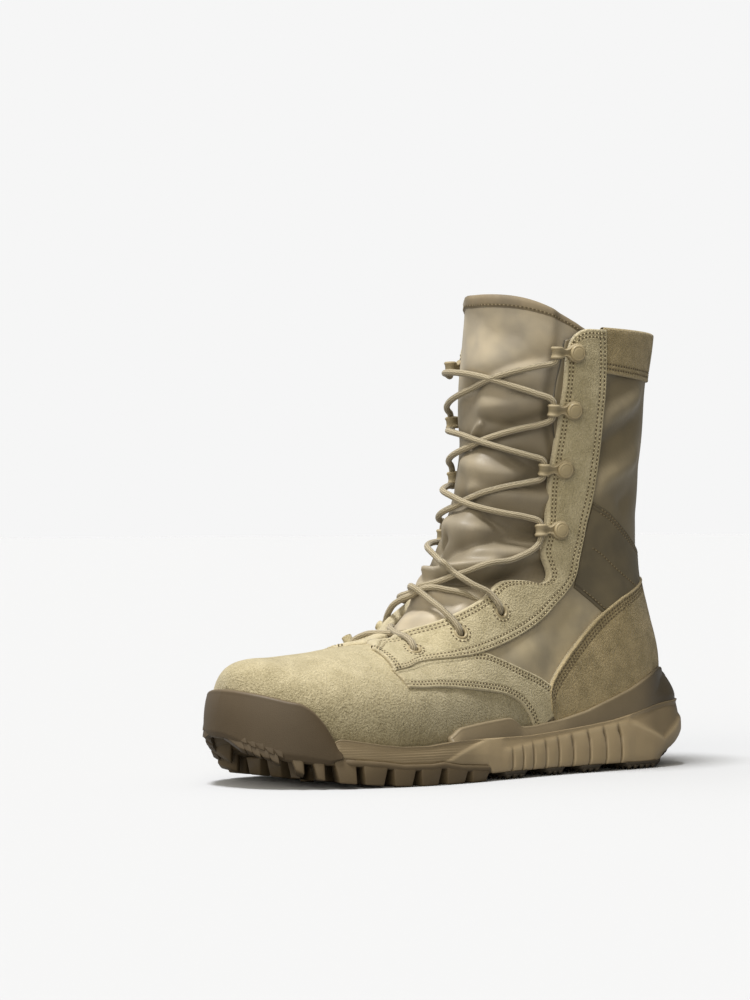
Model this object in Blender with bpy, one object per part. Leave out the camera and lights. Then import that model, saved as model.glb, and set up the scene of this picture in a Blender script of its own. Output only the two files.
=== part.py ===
"""Left field boot: a hollow suede and nylon upper on a lugged foam and rubber sole.

The toe points along -Y, the outer side of the foot along +X, and the sole stands on z = 0.
Tables are in millimetres: s runs from the heel's end towards the toe, z up from the floor.
"""

import math
from collections import namedtuple

import bmesh
import bpy
import numpy as np
from mathutils import Matrix, Vector

MM = 0.001
LENGTH = 305.0  # outsole, heel to toe
HEEL_Y = LENGTH / 2 + 0.25  # y of the heel's end, with the finished box centred on the origin
MIDLINE = 0.54  # x of the long axis in the box
GAP = 0.3  # clearance between neighbouring pieces
WALL = 2.2  # upper: nylon and suede with its lining
OVERLAY = 1.4  # suede panel sewn on the upper
LATERAL, MEDIAL = 1, -1
SIDES = {"lateral": LATERAL, "medial": MEDIAL}

# A section of the upper runs from its back (or sole) end to its front (or ridge) end as seen
# from the side; lateral and medial are half widths from mid, widest is where along the line
# they are reached, and foot is the share of the width that is left at the back end.
Section = namedtuple("Section", "back_s back_z front_s front_z mid lateral medial widest foot")
SECTIONS = [
    Section(299.0, 31, 299.0, 47, -8.0, 0.0, 0.0, 0.30, 1.00),
    Section(297.5, 29.5, 296.5, 55, -8.0, 12.5, 12.0, 0.30, 1.00),
    Section(292.0, 27.5, 290.5, 60, -7.5, 24.0, 22.5, 0.30, 0.99),
    Section(282.0, 25, 280.5, 63.5, -6.5, 33.5, 31.5, 0.30, 0.98),
    Section(268.0, 22, 266.5, 65, -5.0, 41.0, 38.5, 0.28, 0.97),
    Section(252.0, 19.5, 250.5, 66.5, -3.0, 46.0, 44.0, 0.26, 0.96),
    Section(235.0, 17.7, 234.5, 68, -1.5, 48.5, 46.5, 0.24, 0.96),
    Section(217.0, 17, 219.0, 69.5, -0.5, 49.5, 46.0, 0.22, 0.96),
    Section(198.0, 17, 206.0, 71.5, 0.0, 48.5, 43.5, 0.20, 0.96),
    Section(177.0, 17.5, 195.0, 76, 0.0, 46.0, 40.0, 0.20, 0.96),
    Section(154.0, 18.5, 185.5, 85, 0.0, 43.5, 37.5, 0.20, 0.95),
    Section(129.0, 19.5, 177.0, 97, 0.0, 41.0, 36.0, 0.22, 0.94),
    Section(102.0, 21, 169.0, 110, 0.0, 39.5, 36.5, 0.25, 0.93),
    Section(76.0, 22.5, 162.0, 122, 0.0, 38.5, 37.0, 0.28, 0.92),
    Section(51.0, 24, 156.5, 134, 0.0, 38.0, 37.0, 0.32, 0.88),
    Section(31.0, 25.5, 152.5, 145, 0.0, 38.0, 37.0, 0.35, 0.70),
    Section(19.0, 29, 149.5, 155, 0.0, 38.0, 37.0, 0.38, 0.42),
    Section(14.5, 37, 147.5, 164, 0.0, 38.0, 37.0, 0.40, 0.0),
    Section(15.0, 52, 146.0, 172, 0.0, 37.5, 36.5, 0.41, 0.0),
    Section(18.8, 70, 145.0, 180, 0.0, 37.5, 36.5, 0.42, 0.0),
    Section(25.0, 90, 144.3, 188, 0.0, 38.0, 37.0, 0.44, 0.0),
    Section(30.3, 110, 144.0, 195, 0.0, 39.0, 38.0, 0.46, 0.0),
    Section(32.5, 132, 143.7, 202, 0.0, 40.0, 39.0, 0.48, 0.0),
    Section(32.5, 155, 143.5, 209, 0.0, 41.5, 40.5, 0.49, 0.0),
    Section(30.2, 179, 143.2, 216, 0.0, 43.0, 42.0, 0.50, 0.0),
    Section(26.8, 202, 143.0, 223, 0.0, 44.5, 43.5, 0.50, 0.0),
    Section(23.0, 220, 143.0, 230, 0.0, 45.5, 44.5, 0.50, 0.0),
    Section(21.0, 234, 143.0, 237, 0.0, 46.0, 45.0, 0.50, 0.0),
    Section(20.0, 246, 143.0, 247, 0.0, 46.0, 45.0, 0.50, 0.0),
    Section(20.0, 264, 143.5, 264, 0.0, 46.0, 45.0, 0.50, 0.0),
]
COLLAR_ROW = 27
HEEL_ROW = 17  # first section whose back end lies on the heel's back seam
RIDGE_POWER = 2.2
COLUMN_SPLIT = 0.38  # share of a section's columns below its widest point

# The upper is open in front: half the width of the opening at each section.
Throat = namedtuple("Throat", "row half_gap")
THROAT = [
    Throat(7.8, 0.0),
    Throat(8.3, 8.0),
    Throat(9.0, 14.0),
    Throat(10.0, 22.5),
    Throat(11.0, 28.0),
    Throat(12.0, 30.5),
    Throat(13.0, 32.5),
    Throat(13.8, 34.0),
    Throat(15.0, 34.0),
    Throat(17.0, 33.5),
    Throat(19.0, 34.0),
    Throat(22.0, 36.5),
    Throat(25.0, 40.5),
    Throat(27.0, 42.0),
]

# Plan of the sole's widest edge, half widths from the long axis.
Plan = namedtuple("Plan", "s lateral medial")
SOLE_PLAN = [
    Plan(0.0, 0.0, 0.0),
    Plan(6.0, 24.0, -23.5),
    Plan(22.0, 37.5, -36.0),
    Plan(50.0, 42.5, -41.5),
    Plan(85.0, 43.5, -42.5),
    Plan(120.0, 45.0, -42.0),
    Plan(155.0, 49.5, -44.0),
    Plan(190.0, 54.5, -50.0),
    Plan(218.0, 55.0, -54.0),
    Plan(243.0, 50.5, -53.5),
    Plan(265.0, 42.5, -49.5),
    Plan(284.0, 31.0, -41.0),
    Plan(298.0, 15.0, -28.0),
    Plan(305.0, -7.0, -7.0),
]

# Heights along the sole: the foam's rim round the upper and its underside, which steps up where
# the rubber forefoot begins. Ahead of the bumper's rear edge the rim drops away behind it.
Level = namedtuple("Level", "s rim underside")
SOLE_LEVELS = [
    Level(0.0, 36.0, 14.0),
    Level(12.0, 35.8, 8.5),
    Level(27.0, 35.0, 5.2),
    Level(40.0, 33.6, 4.0),
    Level(55.0, 31.0, 4.0),
    Level(75.0, 27.3, 4.0),
    Level(96.0, 25.0, 4.0),
    Level(122.0, 22.9, 4.0),
    Level(140.0, 21.8, 4.0),
    Level(170.0, 22.0, 4.0),
    Level(174.0, 22.0, 8.2),
    Level(195.0, 21.8, 9.6),
    Level(207.0, 20.8, 11.6),
    Level(215.0, 20.0, 11.0),
    Level(232.0, 20.2, 11.4),
    Level(244.0, 21.6, 13.2),
    Level(262.0, 24.6, 14.8),
    Level(275.0, 25.5, 15.8),
    Level(290.0, 28.5, 18.4),
    Level(305.0, 33.0, 23.0),
]
FOREFOOT_START = 174.0
LUG_DEPTH = 4.5
TOE_SPRING = 15.0  # rise of the lugs at the toe's end
SPRING_START = 220.0
SPRING_POWER = 1.4

# Heel and arch cradle: top edge. Its lower edge follows the foam's rim.
Edge = namedtuple("Edge", "s top")
CRADLE_TOP = [
    Edge(0.0, 54.0),
    Edge(36.0, 53.0),
    Edge(45.0, 51.5),
    Edge(57.0, 44.8),
    Edge(76.0, 36.3),
    Edge(94.0, 29.8),
    Edge(113.0, 26.0),
    Edge(130.0, 24.2),
    Edge(138.0, 24.6),
    Edge(145.0, 28.7),
    Edge(150.0, 29.4),
    Edge(170.0, 28.3),
    Edge(192.0, 26.0),
    Edge(199.0, 23.6),
]
CRADLE_WALL = 2.6

# Toe bumper: top edge, which slants down to the sole at its rear ends.
BUMPER_TOP = [
    Edge(264.0, 18.0),
    Edge(266.0, 21.5),
    Edge(268.5, 26.5),
    Edge(272.5, 33.4),
    Edge(277.0, 39.0),
    Edge(282.0, 42.8),
    Edge(288.0, 44.4),
    Edge(296.0, 47.0),
    Edge(305.0, 49.5),
]
BUMPER_WALL = 2.8
BUMPER_FOOT = 6.0  # up to here above the footbed it stands off the upper, round the foam

# Flex grooves down the side of the foam, from the arch to the heel.
GROOVES = [154.0, 145.5, 137.0, 127.0, 117.0, 106.0, 93.5, 81.0, 69.5]
GROOVE_HALF_WIDTH = 1.3
GROOVE_DEPTH = 2.2


def smooth(xs, ys, x):
    """Value at x of a cubic curve through the points (xs, ys)."""
    xs, ys = np.asarray(xs, float), np.asarray(ys, float)
    slopes = np.gradient(ys, xs)
    i = int(np.clip(np.searchsorted(xs, x, side="right") - 1, 0, len(xs) - 2))
    h = xs[i + 1] - xs[i]
    t = (x - xs[i]) / h
    start = (1 + 2 * t) * (1 - t) ** 2 * ys[i] + t * (1 - t) ** 2 * h * slopes[i]
    end = t * t * (3 - 2 * t) * ys[i + 1] - t * t * (1 - t) * h * slopes[i + 1]
    return start + end


def along(table, name, s):
    """A table's named column at s, on straight runs between its rows."""
    return float(np.interp(s, [row.s for row in table], [getattr(row, name) for row in table]))


def place(point):
    """Boot coordinates (x, s, z) in millimetres to metres."""
    x, s, z = point
    return Vector(((x - MIDLINE) * MM, (HEEL_Y - s) * MM, z * MM))


# The upper's own surface

SECTION_ROWS = np.array(SECTIONS, float)
SECTION_INDEX = np.arange(len(SECTIONS), dtype=float)
SECTION_CACHE = {}


def section(k):
    """The section at a fractional row k of the table."""
    key = round(k, 6)
    if key not in SECTION_CACHE:
        columns = range(len(Section._fields))
        SECTION_CACHE[key] = Section(*(smooth(SECTION_INDEX, SECTION_ROWS[:, c], key) for c in columns))
    return SECTION_CACHE[key]


def foot_share(sec):
    return min(1.0, max(0.0, sec.foot))


def share_of_width(sec, a):
    """Half width at a (0 back end, 1 ridge) as a share of the widest."""
    if a >= sec.widest:
        u = min(1.0, (a - sec.widest) / (1 - sec.widest))
        return max(0.0, 1 - u**RIDGE_POWER) ** (1 / RIDGE_POWER)
    u = (sec.widest - a) / sec.widest
    return max(0.0, 1 - (1 - foot_share(sec) ** 2) * u * u) ** 0.5


def half_width(sec, side):
    return max(0.0, sec.lateral if side == LATERAL else sec.medial)


def reach(sec, t):
    """Where along a section's line an even share t of its girth lies."""
    if t < COLUMN_SPLIT:
        u = 1 - t / COLUMN_SPLIT
        foot = foot_share(sec)
        return sec.widest * (1 - (foot * u + (1 - foot) * math.sin(u * math.pi / 2)))
    u = (t - COLUMN_SPLIT) / (1 - COLUMN_SPLIT)
    return sec.widest + (1 - sec.widest) * math.sin(u * math.pi / 2) ** (2 / RIDGE_POWER)


def solve(rising, target, low=0.0, high=1.0):
    """Where a function that rises from low to high reaches target."""
    for _ in range(30):
        middle = (low + high) / 2
        if rising(middle) < target:
            low = middle
        else:
            high = middle
    return (low + high) / 2


def on_section(k, t, side):
    sec = section(k)
    a = reach(sec, t)
    s = sec.back_s + (sec.front_s - sec.back_s) * a
    z = sec.back_z + (sec.front_z - sec.back_z) * a
    return np.array([sec.mid + side * half_width(sec, side) * share_of_width(sec, a), s, z])


def skin(k, t, side, lift=0.0):
    """A point of the upper's outside, raised along its normal by lift."""
    point = on_section(k, t, side)
    if lift == 0.0:
        return point
    step = 0.01
    k0, k1 = max(0.02, k - step), max(0.02, k - step) + 2 * step
    t0, t1 = max(0.0, t - step), min(1.0, t + step)
    along_k = on_section(k1, t, side) - on_section(k0, t, side)
    along_t = on_section(k, t1, side) - on_section(k, t0, side)
    normal = np.cross(along_t, along_k) * side
    raised = point + normal / np.linalg.norm(normal) * lift
    sec = section(k)
    if share_of_width(sec, reach(sec, t)) < 1e-6:
        raised[0] = sec.mid
    return raised


FAN = np.arange(0.0, len(SECTIONS) - 1 + 0.001, 0.05)
FAN_BACK = np.array([(section(k).back_s, section(k).back_z) for k in FAN])
FAN_FRONT = np.array([(section(k).front_s, section(k).front_z) for k in FAN])


def side_row(s, z):
    """Row and place along its section's line of the side view's point (s, z)."""
    run, point = FAN_FRONT - FAN_BACK, np.array([s, z]) - FAN_BACK
    ahead = run[:, 0] * point[:, 1] - run[:, 1] * point[:, 0]
    i = int(np.argmax(ahead < 0)) if (ahead < 0).any() else len(FAN) - 1
    i = max(1, i)
    k = FAN[i - 1] + (FAN[i] - FAN[i - 1]) * ahead[i - 1] / (ahead[i - 1] - ahead[i])
    sec = section(min(max(k, 0.0), FAN[-1]))
    line = (sec.front_s - sec.back_s, sec.front_z - sec.back_z)
    a = float(np.dot((s - sec.back_s, z - sec.back_z), line) / np.dot(line, line))
    return k, a


def from_side(s, z):
    """Row and share of girth of the point that lies at (s, z) when seen from the side."""
    k, a = side_row(s, z)
    k = min(max(k, 0.0), FAN[-1])
    sec = section(k)
    return k, solve(lambda t: reach(sec, t), min(1.0, max(0.0, a)))


def side_skin(s, z, side, lift=0.0):
    k, t = from_side(s, z)
    return skin(k, t, side, lift)


def throat_reach(k, side):
    """Share of the girth at which the upper stops at the throat."""
    gap = smooth([row.row for row in THROAT], [row.half_gap for row in THROAT], min(k, THROAT[-1].row))
    if k <= THROAT[0].row or gap <= 0:
        return 1.0
    sec = section(k)
    half = half_width(sec, side)
    return solve(lambda t: -half * share_of_width(sec, reach(sec, t)), -gap, COLUMN_SPLIT, 1.0)


# The sole's own outline


def phase(s):
    """Angle round the outline, from the heel's end (0) to the toe's end (pi)."""
    return math.acos(max(-1.0, min(1.0, 1 - 2 * s / LENGTH)))


PLAN_PHASE = [phase(row.s) for row in SOLE_PLAN]
PLAN_X = {
    LATERAL: [row.lateral for row in SOLE_PLAN],
    MEDIAL: [row.medial for row in SOLE_PLAN],
}


def outline(angle, side, inset=0.0):
    """Plan point (x, s) of the sole's edge, moved inwards by inset."""
    s = LENGTH / 2 * (1 - math.cos(angle))
    x = smooth(PLAN_PHASE, PLAN_X[side], angle)
    if angle <= 1e-6:
        return x, s + inset
    if angle >= math.pi - 1e-6:
        return x, s - inset
    step = 0.002
    ahead, behind = (smooth(PLAN_PHASE, PLAN_X[side], angle + turn) for turn in (step, -step))
    slope_x = ahead - behind
    slope_s = LENGTH / 2 * math.sin(angle) * 2 * step
    size = math.hypot(slope_x, slope_s)
    return x - side * slope_s / size * inset, s + side * slope_x / size * inset


FOOTBED_GAP = 0.8
FEATHERLINE = sorted((row.back_s, row.back_z) for row in SECTIONS[:HEEL_ROW])


def footbed(s):
    """Height of the foam under the upper's lower edge."""
    return float(np.interp(s, *zip(*FEATHERLINE))) - FOOTBED_GAP


def within_upper(x, s, z, side):
    k, a = side_row(s, z)
    if not (0 <= k <= FAN[-1] and 0 <= a <= 1):
        return False
    sec = section(k)
    return side * (x - sec.mid) <= half_width(sec, side) * share_of_width(sec, a)


INSET_CACHE = {}


def inset_to_upper(angle, side, z):
    """How far inside the sole's edge the upper's outside lies at height z."""
    key = (round(angle, 5), side, round(z, 3))
    if key not in INSET_CACHE:
        low, high = 0.0, 26.0
        for _ in range(18):
            middle = (low + high) / 2
            x, s = outline(angle, side, middle)
            if within_upper(x, s, max(z, footbed(s) + 1.0), side):
                high = middle
            else:
                low = middle
        INSET_CACHE[key] = high
    return INSET_CACHE[key]


def ground(s):
    """Height of the lugs' undersides: flat, then lifted by the toe spring."""
    return TOE_SPRING * max(0.0, (s - SPRING_START) / (LENGTH - SPRING_START)) ** SPRING_POWER


# Seams of the overlays, seen from the side: each row cuts a strip from edge to edge.
Strip = namedtuple("Strip", "inner_s inner_z outer_s outer_z")
EYESTAY = [
    Strip(112.5, 235.2, 86.0, 234.6),
    Strip(113.0, 212.0, 85.0, 212.0),
    Strip(112.5, 190.0, 86.0, 188.0),
    Strip(112.0, 170.0, 86.6, 166.0),
    Strip(112.0, 151.0, 88.0, 145.0),
    Strip(116.0, 127.0, 92.0, 128.0),
    Strip(118.0, 117.0, 95.5, 116.0),
    Strip(115.0, 106.0, 98.5, 105.0),
    Strip(120.0, 101.0, 104.0, 97.5),
    Strip(132.0, 102.3, 112.0, 90.6),
    Strip(145.0, 101.5, 124.5, 81.0),
    Strip(157.0, 93.0, 144.0, 72.0),
    Strip(175.0, 84.0, 166.0, 65.4),
    Strip(190.0, 77.6, 183.0, 63.0),
    Strip(202.0, 72.2, 204.0, 61.2),
    Strip(211.0, 70.2, 216.0, 58.8),
    Strip(218.5, 67.2, 225.5, 58.0),
]
SADDLE = [
    Strip(225.5, 56.4, 224.5, 51.0),
    Strip(213.0, 57.8, 213.0, 50.3),
    Strip(201.0, 59.6, 201.0, 50.4),
    Strip(183.0, 61.4, 184.0, 48.8),
    Strip(167.0, 63.4, 167.0, 46.5),
    Strip(155.0, 60.5, 153.5, 44.0),
    Strip(142.0, 55.6, 143.0, 39.0),
    Strip(129.0, 48.6, 137.0, 33.0),
    Strip(120.5, 41.0, 134.0, 28.5),
    Strip(115.0, 33.0, 131.5, 24.6),
]
ANKLE_STRIP = [
    Strip(86.2, 144.2, 99.4, 98.4),
    Strip(75.0, 138.6, 90.0, 92.8),
    Strip(62.0, 129.8, 78.0, 85.6),
    Strip(51.0, 123.0, 60.0, 91.8),
    Strip(44.0, 118.8, 46.5, 97.8),
    Strip(38.5, 116.6, 39.0, 101.6),
]

# Heel counter: its front and top edge, from the rim up to the back seam.
Seam = namedtuple("Seam", "s z")
COUNTER_EDGE = [
    Seam(115.0, 39.0),
    Seam(118.0, 47.0),
    Seam(115.0, 55.0),
    Seam(107.0, 61.0),
    Seam(94.0, 72.0),
    Seam(77.0, 84.0),
    Seam(57.0, 91.0),
    Seam(42.0, 98.0),
    Seam(33.0, 102.5),
]
COUNTER_RISE = 3.0  # its lower edge above the rim
OVERLAY_GAP = 0.6  # overlays above the upper, whose facets differ a little from theirs
EYESTAY_GAP = 0.85
BAND_LOW = (25.5, 25.0)  # rows of the collar band's lower seam, at the back and at the eyestay
BAND_TOP = 26.9

# Lacing hardware on each side, seen from the side.
DISCS = [Seam(103.0, 223.0), Seam(103.0, 193.0), Seam(104.0, 162.0), Seam(107.0, 129.0)]
EYELETS = [Seam(149.0, 86.0), Seam(175.0, 75.0), Seam(201.0, 67.5)]
LOOP_REACH = 17.0  # disc's centre to the lace in the loop
LOOP_WIDTH = 7.0
LOOP_BORE = 2.2
LOOP_SKIN = 1.2
STRAP = 2.0
DISC_RADIUS = 4.2
DISC_HEIGHT = 2.0
HOLE_RADIUS = 3.0
LACE_RADIUS = 1.75

Look = namedtuple("Look", "colour roughness metallic")
LOOKS = {
    "suede": Look((0.45, 0.36, 0.21), 0.92, 0.0),
    "nylon": Look((0.25, 0.21, 0.15), 0.62, 0.0),
    "foam": Look((0.24, 0.18, 0.11), 0.72, 0.0),
    "rubber": Look((0.13, 0.10, 0.065), 0.6, 0.0),
    "cradle": Look((0.16, 0.125, 0.08), 0.42, 0.0),
    "painted_metal": Look((0.42, 0.34, 0.21), 0.45, 0.2),
    "webbing": Look((0.33, 0.27, 0.17), 0.8, 0.0),
    "lace_cord": Look((0.47, 0.38, 0.26), 0.85, 0.0),
    "insole_fabric": Look((0.1, 0.085, 0.06), 0.95, 0.0),
}


def make_material(name):
    look = LOOKS[name]
    material = bpy.data.materials.new(name)
    material.use_nodes = True
    shader = material.node_tree.nodes["Principled BSDF"]
    shader.inputs["Base Color"].default_value = (*look.colour, 1)
    shader.inputs["Roughness"].default_value = look.roughness
    shader.inputs["Metallic"].default_value = look.metallic
    return material


def add_object(name, data, look, matrix=None):
    """Link mesh or curve data into the boot's collection under a node's name."""
    obj = bpy.data.objects.new(name, data)
    bpy.data.collections["field_boot"].objects.link(obj)
    if look not in bpy.data.materials:
        make_material(look)
    data.materials.append(bpy.data.materials[look])
    if matrix is not None:
        obj.matrix_world = matrix
    return obj


def finish_mesh(name, bm, look, matrix=None):
    """Merge seams, turn faces outwards and make the object."""
    bmesh.ops.remove_doubles(bm, verts=bm.verts, dist=0.00002)
    bmesh.ops.dissolve_degenerate(bm, edges=bm.edges, dist=0.00001)
    bmesh.ops.recalc_face_normals(bm, faces=bm.faces)
    mesh = bpy.data.meshes.new(name)
    bm.to_mesh(mesh)
    bm.free()
    return add_object(name, mesh, look, matrix)


def add_grid(bm, rows, columns):
    """A grid whose corners carry u along its rows and v across them, both from 0 to 1."""
    u, v = (bm.verts.layers.float.get(n) or bm.verts.layers.float.new(n) for n in "uv")
    grid = bmesh.ops.create_grid(bm, x_segments=rows, y_segments=columns, size=1.0)["verts"]
    for vert in grid:
        vert[u], vert[v] = (vert.co.x + 1) / 2, (vert.co.y + 1) / 2
    return grid


def slab(name, rows, columns, locate, look, sides=(LATERAL,)):
    """A sheet with a thickness: locate(u, v, side, face) gives its outer (0) and inner (1) points.

    With two sides, the halves are joined where their outer faces meet.
    """
    bm = bmesh.new()
    side_layer = bm.verts.layers.int.new("side")
    for side in sides:
        for vert in add_grid(bm, rows, columns):
            vert[side_layer] = side
    u, v = (bm.verts.layers.float[n] for n in "uv")
    for vert in bm.verts:
        vert.co = place(locate(vert[u], vert[v], vert[side_layer], 0))
    bmesh.ops.remove_doubles(bm, verts=bm.verts, dist=0.00002)
    extruded = bmesh.ops.extrude_face_region(bm, geom=bm.faces[:])["geom"]
    for vert in extruded:
        if isinstance(vert, bmesh.types.BMVert):
            vert.co = place(locate(vert[u], vert[v], vert[side_layer], 1))
    return finish_mesh(name, bm, look)


def ring_loft(name, stations, ring, locate, look):
    """A solid through closed rings: locate(station, index) gives point index of a station's ring."""
    bm = bmesh.new()
    grid = add_grid(bm, len(stations) - 1, ring)
    u, v = (bm.verts.layers.float[n] for n in "uv")
    for vert in grid:
        station = stations[round(vert[u] * (len(stations) - 1))]
        vert.co = place(locate(station, round(vert[v] * ring) % ring))
    return finish_mesh(name, bm, look)


def cut(obj, cutter, operation="DIFFERENCE"):
    modifier = obj.modifiers.new(cutter.name, "BOOLEAN")
    modifier.operation = operation
    modifier.solver = "EXACT"
    modifier.object = cutter


def set_aside(obj):
    """Keep a cutter or a joined piece out of the boot's own collection."""
    bpy.data.collections["field_boot"].objects.unlink(obj)
    bpy.data.collections["cutters"].objects.link(obj)
    obj.hide_render = True
    obj.display_type = "WIRE"


# Upper and tongue

HEEL_TURN = (16.35, 16.7)  # extra rows where the lower edge turns round the heel
UPPER_ROWS = [
    *(0.0, 0.4, *range(1, 8), 7.8, 8.3, 9, 9.5, 10, 10.5, 11, 11.5),
    *range(12, HEEL_ROW),
    *HEEL_TURN,
    *range(HEEL_ROW, COLLAR_ROW + 1),
]
UPPER_COLUMNS = 8


def make_upper(holes):
    def locate(u, v, side, face):
        k = UPPER_ROWS[round(u * (len(UPPER_ROWS) - 1))]
        return skin(k, v * throat_reach(k, side), side, -WALL * face)

    upper = slab("upper", len(UPPER_ROWS) - 1, UPPER_COLUMNS, locate, "nylon", (LATERAL, MEDIAL))
    cut(upper, holes)


TONGUE_ROWS = [7, 7.8, 8.4, 9, 9.5, 10, 10.5, 11, 11.5, 12, 13, 14, 15, 16, 18, 20, 22, 24, 26, 28]
TONGUE_TOP = (28.4, 27.3)  # rows of its top edge, at the middle and at the sides
TONGUE_UNDERLAP = 0.1
TONGUE_GAP = 1.2
TONGUE_WALL = 3.5


def make_tongue():
    def locate(u, v, side, face):
        middle, edge = TONGUE_TOP
        row = TONGUE_ROWS[round(u * (len(TONGUE_ROWS) - 1))]
        k = edge + (middle - edge) * math.sin(v * math.pi / 2) if row == TONGUE_ROWS[-1] else row
        start = min(0.8, throat_reach(max(k, THROAT[0].row + 0.6), side)) - TONGUE_UNDERLAP
        return skin(k, start + (1 - start) * v, side, -(WALL + TONGUE_GAP) - TONGUE_WALL * face)

    slab("tongue", len(TONGUE_ROWS) - 1, 4, locate, "nylon", (LATERAL, MEDIAL))


# Overlays cut from the upper's own surface


def strip_point(table, u, v):
    """Side view of a strip at u along its rows and v across them."""
    spacing = np.linspace(0, 1, len(table))
    inner_s, inner_z, outer_s, outer_z = (
        smooth(spacing, [getattr(row, name) for row in table], u) for name in Strip._fields
    )
    return inner_s + (outer_s - inner_s) * v, inner_z + (outer_z - inner_z) * v


def overlay_lift(face, gap=OVERLAY_GAP):
    """The outer face of an overlay, and the inner one that stays clear of the upper."""
    return gap + OVERLAY * (1 - face)


def make_strip(name, table, side, look, rows, columns, gap=OVERLAY_GAP):
    def locate(u, v, _, face):
        return side_skin(*strip_point(table, u, v), side, overlay_lift(face, gap))

    return slab(name, rows, columns, locate, look)


def make_counter():
    edge = [from_side(row.s, row.z) for row in COUNTER_EDGE]
    first, last = edge[0][0], edge[-1][0]

    def low_reach(k):
        sec = section(k)

        def above_rim(t):
            s = sec.back_s + (sec.front_s - sec.back_s) * reach(sec, t)
            z = sec.back_z + (sec.front_z - sec.back_z) * reach(sec, t)
            return z - along(SOLE_LEVELS, "rim", s)

        return 0.0 if above_rim(0.0) > COUNTER_RISE else solve(above_rim, COUNTER_RISE)

    foot_rows = range(math.ceil(first + 0.3), HEEL_ROW)
    rows = [first, *foot_rows, *HEEL_TURN, *np.linspace(HEEL_ROW, last, 6)]

    def locate(u, v, side, face):
        k = rows[round(u * (len(rows) - 1))]
        low, top = low_reach(k), float(np.interp(k, *zip(*edge)))
        return skin(k, low + (top - low) * v, side, overlay_lift(face))

    slab("heel_counter", len(rows) - 1, 5, locate, "suede", (LATERAL, MEDIAL))


def make_collar_band():
    def locate(u, v, side, face):
        low = BAND_LOW[0] + (BAND_LOW[1] - BAND_LOW[0]) * u
        stop = from_side(EYESTAY[1].outer_s - 0.8, EYESTAY[1].outer_z)[1]
        return skin(low + (BAND_TOP - low) * v, stop * u, side, overlay_lift(face))

    slab("collar_band", 8, 3, locate, "suede", (LATERAL, MEDIAL))


def make_overlays(holes):
    for word, side in SIDES.items():
        cut(make_strip(f"eyestay_{word}", EYESTAY, side, "suede", 32, 3, EYESTAY_GAP), holes)
        make_strip(f"saddle_{word}", SADDLE, side, "suede", 14, 2)
        make_strip(f"ankle_strip_{word}", ANKLE_STRIP, side, "nylon", 8, 4)
    make_counter()
    make_collar_band()


# Sole

SOLE_STEPS = 24
CUP_GAP = 1.0  # between the foam's cup and the upper
HEEL_CUP_GAP = 1.5
HEEL_CUP_END = 40.0
INSOLE_GAP = 2.0
INSOLE_RISE = 0.6
INSOLE_THICKNESS = 4.0
FLUSH = 5.4  # cup wall and cradle outside the upper
TOE_INSET = BUMPER_WALL + 0.4
BUMPER_REAR = BUMPER_TOP[0].s
STEP_STATIONS = [169.8, 174.0]


def arc_stations(count=SOLE_STEPS):
    return [math.pi * i / count for i in range(count + 1)]


def at_s(angle):
    return LENGTH / 2 * (1 - math.cos(angle))


def groove_depth(s):
    """Extra depth of the side where a flex groove runs."""
    nearest = min(abs(s - groove) for groove in GROOVES)
    return GROOVE_DEPTH if nearest < GROOVE_HALF_WIDTH * 0.6 else 0.0


def foam_stations():
    grooves = [g + GROOVE_HALF_WIDTH * f for g in GROOVES for f in (-1, -0.5, 0.5, 1)]
    fixed = [phase(s) for s in (*grooves, *STEP_STATIONS, BUMPER_REAR - 6.0, BUMPER_REAR - 3.0)]
    clear = [a for a in arc_stations() if all(abs(a - f) > 0.03 for f in fixed)]
    return sorted(fixed + clear)


def bed_under(angle, side, inset):
    """Footbed height under the point at inset from the sole's edge."""
    return footbed(outline(angle, side, inset)[1])


def foam_profile(angle, side):
    """The foam's half section, from its underside round the wall into the cup: inset and z."""
    s = at_s(angle)
    under = along(SOLE_LEVELS, "underside", s)
    behind_bumper = s > BUMPER_REAR - 4.0
    base = TOE_INSET if behind_bumper else 0.0
    rim = bed_under(angle, side, base + 2.0) if behind_bumper else along(SOLE_LEVELS, "rim", s)
    to_upper = inset_to_upper(angle, side, rim + 1.0)
    lean = base if behind_bumper else max(0.3, to_upper - FLUSH)
    groove = groove_depth(s)
    height = rim - under
    gap = HEEL_CUP_GAP if s < HEEL_CUP_END else CUP_GAP
    cup = max(to_upper - gap, lean + 1.6)
    bed_inset = max(cup, inset_to_upper(angle, side, rim - 2.0) - gap) + 0.3
    return [
        (base + 1.6 + groove, under),
        (base + 0.5 + groove, under + 0.14 * height),
        (base + min(0.35 * lean, 2.5) + groove, under + 0.62 * height),
        (base + min(0.45 * lean, 3.0), under + 0.7 * height),
        (lean, rim),
        (cup, bed_under(angle, side, cup) if behind_bumper else rim),
        (bed_inset, bed_under(angle, side, bed_inset)),
    ]


def half_rings(profile):
    """Locates points of rings made of a lateral half and the mirrored run of a medial half."""
    cache = {}

    def locate(angle, index):
        if angle not in cache:
            at_end = math.sin(angle) < 1e-6
            sides = (LATERAL, LATERAL if at_end else MEDIAL)
            halves = [[(side, *spot) for spot in profile(angle, side)] for side in sides]
            cache[angle] = halves[0] + halves[1][::-1]
        side, inset, z = cache[angle][index]
        return (*outline(angle, side, inset), z)

    return locate


def make_midsole():
    ring_loft("midsole", foam_stations(), 14, half_rings(foam_profile), "foam")


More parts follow.
